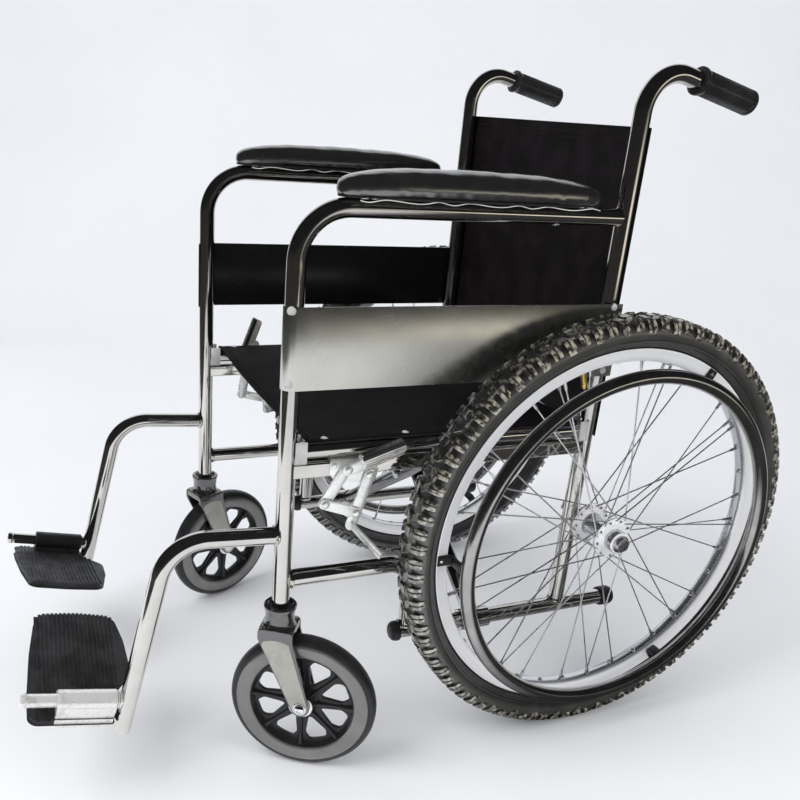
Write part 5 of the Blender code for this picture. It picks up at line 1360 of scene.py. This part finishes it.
def leg_outline(axle_z, top, half, radius=FORK_END_R):
    """A fork leg seen from the side: straight at the top, trailing back to a round end at the axle."""
    steps = 16
    outline = [(-half, top), (-half, CROWN_LOW - 0.004)]
    start = math.atan2(CROWN_LOW - axle_z, -half - CASTER_TRAIL) + math.pi / 2 - 0.12
    for index in range(steps + 1):
        angle = start + math.radians(172.0) * index / steps
        outline.append((CASTER_TRAIL + radius * math.cos(angle), axle_z + radius * math.sin(angle)))
    return outline + [(half, CROWN_LOW - 0.004), (half, top)]


def make_fork(name, axle_z):
    """Two legs with a pale facing, the crown between them and the socket on top."""
    form = Form()
    inner, outer = FORK_LEG_X, FORK_LEG_X + FORK_LEG_T
    half = FORK_TOP_W / 2
    leg_radii = [0.006, 0.010] + [0.0] * 17 + [0.010, 0.006]
    legs = rounded_outline(leg_outline(axle_z, CROWN_HIGH, half), leg_radii, 6)
    face_top = CROWN_LOW - 0.0085
    outline = leg_outline(axle_z, face_top, half - 0.0035, FORK_END_R - 0.0022)
    crest = [(y, face_top + 0.0052 * (1 - ((y - 0.0015) / (half - 0.003)) ** 2))
             for y in np.linspace(half - 0.004, -half + 0.008, 9)]
    facing = [(-half + 0.0058, CROWN_LOW - 0.0125)] + outline[2:-2] + [(half - 0.0030, CROWN_LOW - 0.0125)]
    facing = rounded_outline(facing + crest, 0.0015, 2)
    for low, high, way in ((inner, outer, 1), (-outer, -inner, -1)):
        form.add(slab(legs, low, high, 0.0012), 0)
        x0, x1 = sorted((way * (outer - 0.001), way * (outer + 0.0006)))
        form.add(slab(facing, x0, x1, 0.0005), 1)
    x, y = outer - 0.0002, half - 0.0003
    crown = rounded_outline([(-x, -y), (x, -y), (x, y), (-x, y)], 0.006, 6)
    form.add(slab(crown, CROWN_LOW, CROWN_HIGH, 0.0022, "z"))
    bore, wall = SOCKET_BORE_R, SOCKET_R
    cup = [(bore, 0.1975), (bore, SOCKET_TOP - 0.0012), (bore + 0.0012, SOCKET_TOP),
           (wall - 0.0016, SOCKET_TOP), (wall - 0.0002, SOCKET_TOP - 0.0012),
           (wall - 0.0002, SOCKET_TOP - 0.0040),
           (wall - 0.0014, SOCKET_TOP - 0.0060), (wall - 0.0024, 0.2120), (wall - 0.0026, 0.2060),
           (wall - 0.0010, 0.2010), (wall + 0.0006, 0.1985), (wall + 0.0004, 0.1970)]
    form.add(ring(cup, 64, "z"), 0)
    return form.make(name, [FORK, FORK_FACE])


def filled_outline(outer, holes, half, bevel):
    """A flat plate in Y and Z with holes, half thick each way about X, its edges rounded."""
    curve = bpy.data.curves.new("plate", "CURVE")
    curve.dimensions = "2D"
    curve.fill_mode = "BOTH"
    curve.extrude = half - bevel
    curve.bevel_depth = bevel
    curve.bevel_resolution = 1
    curve.offset = -bevel
    for loop in [outer] + holes:
        spline = curve.splines.new("POLY")
        spline.points.add(len(loop) - 1)
        for point, (a, b) in zip(spline.points, loop):
            point.co = (a, b, 0.0, 1.0)
        spline.use_cyclic_u = True
    item = bpy.data.objects.new("plate", curve)
    bpy.context.scene.collection.objects.link(item)
    mesh = bpy.data.meshes.new_from_object(item.evaluated_get(bpy.context.evaluated_depsgraph_get()))
    points = coordinates(mesh)[:, [2, 0, 1]]
    faces = [tuple(face.vertices) for face in mesh.polygons]
    bpy.data.objects.remove(item)
    bpy.data.curves.remove(curve)
    bpy.data.meshes.remove(mesh)
    return points, faces


def make_caster_wheel(name):
    """Black tread, a grey side band, and a web with drop windows between raised ribs."""
    form = Form()
    half = [(0.0970, 0.0), (0.0969, 0.0030), (0.0962, 0.0058), (0.0948, 0.0082), (0.0928, 0.0101),
            (0.0908, 0.0113), (0.0882, 0.0120)]
    tread = [(r, -x) for r, x in reversed(half[1:])] + half
    form.add(ring([(0.0866, -0.0100)] + tread + [(0.0866, 0.0100)], 128), 0)
    band = [(0.0870, 0.0100), (0.0880, 0.0116), (0.0868, 0.0125), (0.0846, 0.0132), (0.0816, 0.0135),
            (0.0784, 0.0135), (0.0750, 0.0131), (0.0720, 0.0124), (0.0698, 0.0114), (0.0686, 0.0098),
            (0.0700, 0.0060), (0.0800, 0.0060)]
    inner = [(0.0690, 0.0112), (0.0682, 0.0106), (0.0668, 0.0060), (0.0655, 0.0030), (0.0640, 0.0015),
             (0.0690, 0.0010)]
    hub = [(0.0044, 0.0), (0.0044, 0.0158), (0.0138, 0.0158), (0.0148, 0.0148), (0.0156, 0.0080),
           (0.0186, 0.0036), (0.0210, 0.0020), (0.0210, 0.0)]
    for way in (1, -1):
        for outline, steps, mat in ((band, 128, 1), (inner, 128, 0), (hub, 64, 0)):
            form.add(ring([(r, way * x) for r, x in outline][::way], steps), mat)
    drop = [(0.0, 0.0235), (0.0148, 0.0505), (0.0118, 0.0622), (-0.0118, 0.0622), (-0.0148, 0.0505)]
    drop = rounded_outline(drop, [0.0035, 0.0085, 0.0070, 0.0070, 0.0085], 7)
    windows = []
    for index in range(WEB_WINDOWS):
        turn = Matrix.Rotation(2 * math.pi * (index + 0.5) / WEB_WINDOWS, 2)
        windows.append([tuple(turn @ Vector(point)) for point in drop])
    form.add(filled_outline(circle(0.0672, 128), windows + [circle(0.0140, 40)], 0.0025, 0.0007), 0)
    stations = [(0.0150, 0.0016, 0.0105), (0.0240, 0.0011, 0.0062), (0.0400, 0.0014, 0.0050),
                (0.0560, 0.0022, 0.0056), (0.0675, 0.0034, 0.0078)]
    for index in range(WEB_WINDOWS):
        turn = Matrix.Rotation(2 * math.pi * index / WEB_WINDOWS, 4, "X")
        for way in (-1, 1):
            points = []
            for reach, width, height in stations:
                for across, up in ((-1.5, 0.0018), (-1.0, height * 0.86), (-0.55, height), (0.55, height),
                                   (1.0, height * 0.86), (1.5, 0.0018)):
                    points.append((way * up, across * width, reach))
            faces = tube_faces(len(stations), 6)
            form.add((np.array(points), flipped(faces) if way > 0 else faces), 0, turn)
    return form.make(name, [CASTER_TYRE, CASTER_BAND], angle=34.0)


def make_caster_bolt(name, axle_z):
    """The caster's axle with a washer, a domed head and an inner collar on each side."""
    form = Form()
    reach = FORK_LEG_X + FORK_LEG_T
    place = Matrix.Translation((0.0, CASTER_TRAIL, axle_z))
    form.add(lathe(disc_profile(0.0040, -reach - 0.002, reach + 0.002), 24), 0, place)
    washer = [(0.0, 0.0006), (0.0086, 0.0006), (0.0088, 0.0011), (0.0084, 0.0016), (0.0, 0.0017)]
    dome = [(0.0, 0.0010), (0.0068, 0.0012), (0.0070, 0.0022), (0.0064, 0.0038), (0.0048, 0.0050),
            (0.0026, 0.0055), (0.0022, 0.0042), (0.0, 0.0040)]
    collar = [(0.0158, 0.0163), (0.0062, 0.0163), (0.0062, 0.0165), (0.0158, 0.0165)]
    for way in (-1, 1):
        matrix = place @ Matrix.Scale(way, 4, (1, 0, 0))
        for profile in (washer, dome):
            form.add(lathe([(r, reach + out) for r, out in profile], 36), 0, matrix)
        form.add(ring([(r, way * x) for r, x in collar][::way], 36), 0, place)
    return form.make(name, [DOME])


def make_casters():
    """Both front casters with their sockets on the frame."""
    for side_name, side in SIDES.items():
        x = side * HALF_WIDTH
        axle_z = caster_axle_height(side_name)
        swivel = slope @ Matrix.Translation((x, FRONT_Y, 0.0)) @ Matrix.Rotation(SWIVEL[side_name], 4, "Z")
        roll = swivel @ Matrix.Translation((0.0, CASTER_TRAIL, axle_z))
        fork = make_fork(f"swivel_fork_{side_name}", axle_z)
        bolt = make_caster_bolt(f"caster_bolt_{side_name}", axle_z)
        wheel = make_caster_wheel(f"front_wheel_{side_name}")
        for item, place, body, node, slot in (
                (fork, swivel, "caster_yoke", "caster_fork", "black_plastic"),
                (bolt, swivel, "caster_yoke", "caster_axle", "zinc"),
                (wheel, roll, "caster_roller", "caster_wheel", "caster_rubber")):
            item.data.transform(place)
            finish_piece(item, f"{body}_{side_name}", [f"{node}_{side_name}"], slot)
        outline = [(0.0113, 0.2040), (0.0149, 0.2040), (0.0149, 0.2236), (0.0144, 0.2252), (0.0128, 0.2255),
                   (0.0113, 0.2250)]
        bush = Form().add(ring(outline[::-1], 48, "z"), 0, Matrix.Translation((x, FRONT_Y, 0.0)))
        finish_piece(bush.make(f"swivel_bush_{side_name}", [PLASTIC], slope), f"{side_name}_frame",
                     [f"caster_bearing_{side_name}"], "black_plastic")


# Footplates, built about the pin with Y rearward

def plate_reach(outline, y):
    """The lowest and highest x of an outline at a y."""
    hits = []
    for (x0, y0), (x1, y1) in zip(outline, outline[1:] + outline[:1]):
        if (y0 - y) * (y1 - y) < 0:
            hits.append(x0 + (x1 - x0) * (y - y0) / (y1 - y0))
    return (min(hits), max(hits)) if len(hits) > 1 else None


def make_footplate(name, cast):
    """A ribbed tread on a bracket whose barrel turns on the hanger's pin. The chair's middle is at -X."""
    form = Form()
    top, low = -0.0167, -0.0262
    corners = [(0.0126, -0.0150), (-0.016, -0.0142), (-0.030, -0.0135), (-0.062, 0.0110), (-0.118, 0.0070),
               (-0.162, -0.0025), (-0.166, -0.050), (-0.162, -0.0990), (-0.100, -0.1065), (-0.030, -0.1105),
               (0.0126, -0.1105)]
    radii = [0.002, 0.006, 0.012, 0.030, 0.080, 0.016, 0.2, 0.014, 0.1, 0.06, 0.010]
    outline = rounded_outline(corners[::-1], radii[::-1], 8)
    form.add(slab(outline, low, top, 0.0022, "z"), 0)
    inset = offset_outline(outline, 0.0042)
    for index in range(19):
        y = -0.1010 + index * 0.0054
        reach = plate_reach(inset, y)
        if not reach or reach[1] - reach[0] < 0.02:
            continue
        x0, x1 = reach
        x1 = min(x1, -0.0128 if y > -0.0850 else x1)
        steps = [(x0, 0.2), (x0 + 0.0012, 0.8), (x0 + 0.003, 1.0),
                 (x1 - 0.003, 1.0), (x1 - 0.0012, 0.8), (x1, 0.2)]
        section = ((-0.0019, -0.0006), (-0.0014, 0.0010), (-0.0007, 0.0015),
                   (0.0007, 0.0015), (0.0014, 0.0010), (0.0019, -0.0006))
        points = [(x, y + across, top + up * rise) for x, rise in steps for across, up in section]
        form.add((np.array(points), flipped(tube_faces(6, 6))), 0)
    barrel = [(0.0083, -0.0150), (0.0118, -0.0150), (0.0128, -0.0160), (0.0128, -0.0826), (0.0118, -0.0836),
              (0.0083, -0.0836)]
    form.add(ring(barrel, 48, "y"), 1)
    cheek = rounded_outline([(-0.0834, -0.0320), (-0.0152, -0.0320), (-0.0152, 0.0), (-0.0834, 0.0)],
                            [0.0070, 0.0070, 0.001, 0.001], 6)
    form.add(slab(cheek, 0.0088, 0.0134, 0.0009), 1)
    form.add(box((-0.0100, -0.0828, low + 0.0010), (0.0120, -0.0156, -0.0090), 0.0015), 1)
    button = lathe(disc_profile(0.0044, low - 0.0016, low + 0.001, 0.0006), 24, "z")
    for y in (-0.0350, -0.0640):
        form.add(button, 1, Matrix.Translation((-0.062, y, 0.0)))
    return form.make(name, [TREAD, cast])


def make_footplates():
    """Both footplates on their pins."""
    pin_y = fall_line()[2]
    for side_name, side in SIDES.items():
        pin = Matrix.Translation((side * HALF_WIDTH, pin_y, PIN_Z))
        place = slope @ pin @ Matrix.Rotation(-PIN_RISE, 4, "X") @ Matrix.Rotation(side * FOOT_TILT, 4, "Y")
        item = make_footplate(f"foot_tread_{side_name}", SILVER if side > 0 else PLASTIC)
        if side < 0:
            mirrored(item)
        item.data.transform(place)
        finish_piece(item, f"foot_{side_name}", [f"footplate_{side_name}"], "footplate_plastic")


# Brakes, drawn on the left side and mirrored for the right one

def arm_end(pivot, angle, length=BRAKE_ARM_L):
    """The lower end of an arm that hangs from a pivot, swung forward by an angle."""
    return (pivot[0] - length * math.sin(angle), pivot[1] - length * math.cos(angle))


def bar_outline(start, end, width, clip=0.0):
    """A flat bar with round ends, or with clipped corners that run past the pivots by clip."""
    steps = 10
    start, end = Vector(start), Vector(end)
    along = (end - start).normalized()
    if clip:
        across = Vector((-along.y, along.x)) * width / 2
        cut = width * 0.26
        a, b = start - along * clip, end + along * clip
        corners = [a - across + along * cut, b - across - along * cut, b - across * 0.42, b + across * 0.42,
                   b + across - along * cut, a + across + along * cut, a + across * 0.42, a - across * 0.42]
        return rounded_outline(corners, 0.0012, 3)
    heading = math.atan2(along.y, along.x)
    outline = []
    for centre, base in ((end, heading - math.pi / 2), (start, heading + math.pi / 2)):
        for index in range(steps + 1):
            angle = base + math.pi * index / steps
            outline.append((centre.x + width / 2 * math.cos(angle), centre.y + width / 2 * math.sin(angle)))
    return outline


def layer(level):
    """The inner and outer x of one of the brake's stacked sheets."""
    low = BRAKE_PLATE_X + level * LAYER
    return low, low + SHEET


def rivet(form, place, first, last):
    """A shank through the layers and its domed head."""
    low = BRAKE_PLATE_X + first * LAYER + 0.0005
    high = BRAKE_PLATE_X + (last + 1) * LAYER
    matrix = Matrix.Translation((0.0, place[0], place[1]))
    form.add(lathe(disc_profile(0.0030, low, high + 0.0004), 20), 0, matrix)
    form.add(lathe([(0.0, high), (0.0052, high), (0.0052, high + 0.0004), (0.0044, high + 0.0013),
                    (0.0026, high + 0.0019), (0.0, high + 0.0020)], 28), 0, matrix)


def brake_plate():
    """The plate that hangs from the square bar and carries both pivots."""
    form = Form()
    (y1, z1), (y4, z4) = BRAKE_P1, BRAKE_P4
    top = BAR_Z + 0.0117
    outline = [(y1 - 0.021, top), (y1 - 0.021, z1 - 0.0080), (y1 - 0.007, z1 - 0.0150),
               (y4 - 0.010, z4 - 0.0120), (y4 + 0.008, z4 - 0.0110), (y4 + 0.012, z4 + 0.0060),
               (y4 - 0.004, top)]
    form.add(slab(rounded_outline(outline, 0.0025, 4), *layer(0), 0.0003), 0)
    flange = BAR_Z + 0.0098
    form.add(box((HALF_WIDTH - 0.007, y1 - 0.019, flange),
                 (BRAKE_PLATE_X + 0.001, y4 - 0.006, flange + 0.0018), 0.0004), 0)
    rivet(form, BRAKE_P1, 0, 3)
    rivet(form, BRAKE_P4, 0, 1)
    for place in ((y1 - 0.0150, z1 + 0.0035), (y4 + 0.0035, z4 + 0.0085)):
        form.add(screw_head(0.0036, 0.0016), 0, aim((layer(0)[1] - 0.0001, *place), (1, 0, 0)))
    return form


def brake_front_arm(state):
    """The arm that the lever swings. A state of 0 is released and 1 is engaged, here and below."""
    end = arm_end(BRAKE_P1, FRONT_ARM_ANGLE - ARM_TRAVEL * state)
    form = Form().add(slab(bar_outline(BRAKE_P1, end, BRAKE_ARM_W), *layer(1), 0.0004), 0)
    rivet(form, end, 1, 2)
    return form


def brake_link(state):
    """The link from the front arm's pin to the shoe arm's."""
    start = Vector(arm_end(BRAKE_P1, FRONT_ARM_ANGLE - ARM_TRAVEL * state))
    knee = Vector(arm_end(BRAKE_P4, SHOE_ARM_ANGLE - ARM_TRAVEL * state))
    end = start + (knee - start).normalized() * BRAKE_LINK_L
    return Form().add(slab(bar_outline(start, end, BRAKE_ARM_W * 0.88, 0.0070), *layer(2), 0.0004), 0)


def brake_shoe_arm(state):
    """The rear arm and its shoe: a bar, bent out over the tyre."""
    toe = Vector(arm_end(BRAKE_P4, SHOE_ARM_ANGLE, 0.0690))
    form = Form().add(slab(bar_outline(BRAKE_P4, toe, BRAKE_ARM_W), *layer(1), 0.0004), 0)
    rivet(form, arm_end(BRAKE_P4, SHOE_ARM_ANGLE), 1, 2)
    start = Vector((layer(1)[0], toe.x, toe.y))
    along = Vector((0.046, 0.023, -0.024))
    normal = along.cross(Vector((0.0, -math.sin(0.2), math.cos(0.2)))).normalized()
    across = normal.cross(along).normalized()
    length, run = along.length, along.normalized()
    knots = [-0.006, 0.0, 0.008, length * 0.5, length - 0.008, length - 0.003, length]
    points = []
    for reach in knots:
        for a, b in ((-1.0, -0.6), (-0.9, -1.0), (0.9, -1.0), (1.0, -0.6),
                     (1.0, 0.6), (0.9, 1.0), (-0.9, 1.0), (-1.0, 0.6)):
            curl = 0.0009 * (1 - a * a)
            points.append(tuple(start + run * reach + across * (0.006 * a) + normal * (0.0015 * b - curl)))
    form.add((points, tube_faces(len(knots), 8)), 0)
    hinge = Matrix.Translation((0.0, *BRAKE_P4))
    swing = hinge @ Matrix.Rotation(ARM_TRAVEL * state, 4, "X") @ hinge.inverted()
    form.points = [moved(shape, swing) for shape in form.points]
    return form


def brake_handle(state):
    """The lever: a flat shank and a grip with a black back and a fluted bright side."""
    angle = math.radians(14.0 + 52.0 * state)
    pivot = Vector(BRAKE_P1)
    shank_end = pivot + Vector((math.cos(angle), math.sin(angle))) * 0.034
    form = Form().add(slab(bar_outline(pivot, shank_end, BRAKE_ARM_W), *layer(3), 0.0004), 0)
    turn = Matrix.Translation((0.0, pivot.x, pivot.y)) @ Matrix.Rotation(angle, 4, "X")
    turn = turn @ Matrix.Rotation(math.radians(4.0), 4, "X") @ Matrix.Translation((0.0, 0.0, 0.0065))
    low, high = layer(3)[0] - 0.0004, layer(3)[0] + 0.0136
    start, end, half = 0.015, 0.075, 0.0074
    body = rounded_outline([(start, -half), (end, -half), (end, half), (start, half)],
                           [0.003, 0.0055, 0.0065, 0.004], 7)
    form.add(slab(body, low, high - 0.0010, 0.0022), 1, turn)
    near, far = start + 0.002, end - 0.0005
    shell = rounded_outline([(near, 0.0018), (far, 0.0018), (far, half), (near, half)],
                            [0.001, 0.002, 0.0060, 0.0035], 6)
    form.add(slab(shell, low - 0.0002, high, 0.0014), 2, turn)
    flutes = [(high - 0.0010, level, end - 0.005, 0.0006, 0.0009) for level in (-0.0058, -0.0030, -0.0002)]
    for step in range(4):
        flutes.append((low + 0.0036 + step * 0.0038, -half + 0.0001, end - 0.006, 0.0005, 0.0008))
    for across, level, last, thin, thick in flutes:
        spine = [Vector((across, y, level)) for y in np.linspace(start + 0.004, last, 6)]
        form.add(sweep(spine, [thin, thick, thick, thick, thick, thin], 8), 1, turn)
    return form


def make_brakes():
    """Both lever brakes: the left one stands free, the right one is engaged."""
    for side_name, side in SIDES.items():
        state = 0.0 if side > 0 else 1.0
        for label, form, body, node, slot in (
                ("bracket", brake_plate(), f"{side_name}_frame", "brake_plate", "zinc"),
                ("front_lever", brake_front_arm(state), f"brake_crank_{side_name}", "brake_front_arm",
                 "zinc"),
                ("tie", brake_link(state), f"brake_tie_{side_name}", "brake_link", "zinc"),
                ("shoe", brake_shoe_arm(state), f"brake_shoe_{side_name}", "brake_shoe_arm", "zinc"),
                ("handle", brake_handle(state), f"brake_lever_{side_name}", "brake_handle", "black_plastic")):
            item = form.make(f"wheel_lock_{label}_{side_name}", [BRIGHT, FLUTED, PLASTIC])
            if side < 0:
                mirrored(item)
            item.data.transform(slope)
            finish_piece(item, body, [f"{node}_{side_name}"], slot)


def main():
    """The whole chair."""
    make_wheels()
    for side_name, side in SIDES.items():
        make_frame(side_name, side)
        make_pad(side_name, side)
    make_brace("brace_tube_a", 1, BRACE_Y + BRACE_PITCH / 2, "brace_arm_a", "brace_a")
    make_brace("brace_tube_b", -1, BRACE_Y - BRACE_PITCH / 2, "brace_arm_b", "brace_b")
    make_brace_bolt()
    make_sling()
    make_back()
    make_casters()
    make_footplates()
    make_brakes()


main()


# Stage, light and camera

WORLD_LEVEL = 0.76
CURVE_R = 1.1
CURVE_START = 1.7
WALL_TOP = 4.2
PICTURE = 800


def make_stage():
    """A paper sweep: floor, curve and wall, wider toward the back."""
    direction = Vector((-0.912, 0.410, 0.0)).normalized()
    across = Vector((-direction.y, direction.x, 0.0))
    wall = CURVE_START + CURVE_R
    profile = [(-2.4, 0.0), (-0.6, 0.0), (0.6, 0.0), (CURVE_START, 0.0)]
    profile += [(CURVE_START + CURVE_R * math.sin(a), CURVE_R - CURVE_R * math.cos(a))
                for a in np.linspace(0.08, math.pi / 2, 18)]
    profile += [(wall, WALL_TOP)]
    points = []
    for along, up in profile:
        share = max(0.0, (min(along, wall) + 1.85) / 4.65)
        for width in (-2.4 - 1.35 * share, 0.55 + 2.5 * share):
            points.append(tuple(direction * along + across * width + Vector((0, 0, up))))
    mesh = bpy.data.meshes.new("backdrop")
    mesh.from_pydata(points, [], grid_faces(len(profile), 2, False, False))
    mesh.polygons.foreach_set("use_smooth", [True] * len(mesh.polygons))
    floor = bpy.data.objects.new("backdrop", mesh)
    bpy.context.scene.collection.objects.link(floor)
    mesh.materials.append(make_paper())


def make_paper():
    """Pale paper with faint blotches. Gloss sees it darken toward one side and one end."""
    m = Nodes("backdrop_paper", (0.80, 0.82, 0.86), 0.9, Specular_IOR_Level=0.1)
    m.colour(m.blotches(1.3, 4.0, 0.35, 0.7, (0.825, 0.833, 0.852), (0.860, 0.864, 0.876)))
    x, y = m.part(m.place, "X"), m.part(m.place, "Y")
    past = m.maths("SUBTRACT", y, m.maths("MULTIPLY", x, 0.52))
    shade = m.maths("MULTIPLY", m.ramp(past, -0.26, -0.02), m.ramp(x, 0.05, 0.30))
    shade = m.maths("MULTIPLY", shade, m.add("ShaderNodeLightPath").outputs["Is Glossy Ray"])
    dark = m.add("ShaderNodeBsdfDiffuse")
    m.fill(dark.inputs["Color"], (0.05, 0.05, 0.05))
    surface = m.choose(shade, m.shader.outputs[0], dark.outputs[0])
    m.link(surface, m.tree.nodes["Material Output"].inputs["Surface"])
    return m.mat


def make_world():
    """Soft light for plain surfaces; metal and gloss see a dim room with one warm window, low down."""
    world = bpy.data.worlds.new("studio")
    bpy.context.scene.world = world
    world.use_nodes = True
    world.node_tree.nodes.clear()
    t = Tree(world.node_tree)

    def background(colour, strength=1.0):
        node = t.add("ShaderNodeBackground")
        t.fill(node.inputs["Color"], colour)
        t.fill(node.inputs["Strength"], strength)
        return node.outputs[0]

    way = t.coords["Generated"]
    up = t.part(way, "Z")
    toward = t.add("ShaderNodeVectorMath", operation="DOT_PRODUCT")
    toward.inputs[1].default_value = Vector((0.766, 0.643, -0.10)).normalized()
    t.link(way, toward.inputs[0])
    window = t.ramp(toward.outputs["Value"], 0.93, 0.995)
    window = t.maths("MULTIPLY", window, t.ramp(up, -0.07, 0.03, 1.0, 0.0))
    window = t.maths("MULTIPLY", window, t.ramp(up, -0.20, -0.15))
    floor_glow, ceiling = background((0.055, 0.053, 0.048)), background((0.016, 0.016, 0.018))
    room = t.choose(t.ramp(up, -0.25, 0.15), floor_glow, ceiling)
    room = t.choose(window, room, background((0.95, 0.90, 0.78), 1.5))
    rays = t.add("ShaderNodeLightPath").outputs
    lit = t.choose(rays["Is Glossy Ray"], background((0.94, 0.96, 1.0), WORLD_LEVEL), room)
    seen = t.choose(rays["Is Camera Ray"], lit, background((0.82, 0.825, 0.835)))
    t.link(seen, t.add("ShaderNodeOutputWorld").inputs["Surface"])


def make_lamp(name, place, target, size, power, colour=(1, 1, 1)):
    """A rectangular area lamp that looks at a target."""
    data = bpy.data.lights.new(name, "AREA")
    data.shape = "RECTANGLE"
    data.size, data.size_y = size
    data.energy = power
    data.color = colour
    lamp = bpy.data.objects.new(name, data)
    bpy.context.scene.collection.objects.link(lamp)
    lamp.visible_glossy = False
    lamp.location = place
    lamp.rotation_euler = (Vector(target) - Vector(place)).to_track_quat("-Z", "Y").to_euler()


def make_camera():
    """The photograph's camera, solved from the chair's own circles and lines."""
    azimuth, tilt, roll = math.radians(65.7922), math.radians(21.8364), math.radians(3.6096)
    level_run, drop = math.cos(tilt), -math.sin(tilt)
    forward = Vector((-math.sin(azimuth) * level_run, math.cos(azimuth) * level_run, drop))
    right = Vector((math.cos(azimuth), math.sin(azimuth), 0.0))
    up = right.cross(forward)
    level = math.cos(roll) * right + math.sin(roll) * up
    upright = -math.sin(roll) * right + math.cos(roll) * up
    data = bpy.data.cameras.new("camera")
    data.sensor_width = 36.0
    data.lens = 38.616
    data.shift_x, data.shift_y = 31.34 / PICTURE, 51.84 / PICTURE
    camera = bpy.data.objects.new("camera", data)
    bpy.context.scene.collection.objects.link(camera)
    turn = Matrix((level, upright, -forward)).transposed().to_4x4()
    camera.matrix_world = Matrix.Translation((1.0985, -0.5067, 0.8211)) @ turn
    bpy.context.scene.camera = camera


make_stage()
make_world()
make_lamp("key", (0.2, -2.3, 2.5), (0.0, 0.0, 0.4), (2.0, 2.0), 62.0)
make_lamp("fill", (2.4, 1.8, 2.0), (0.1, 0.1, 0.4), (2.2, 1.6), 30.0, (1.0, 0.98, 0.93))
make_camera()
bpy.context.scene.view_settings.view_transform = "Standard"
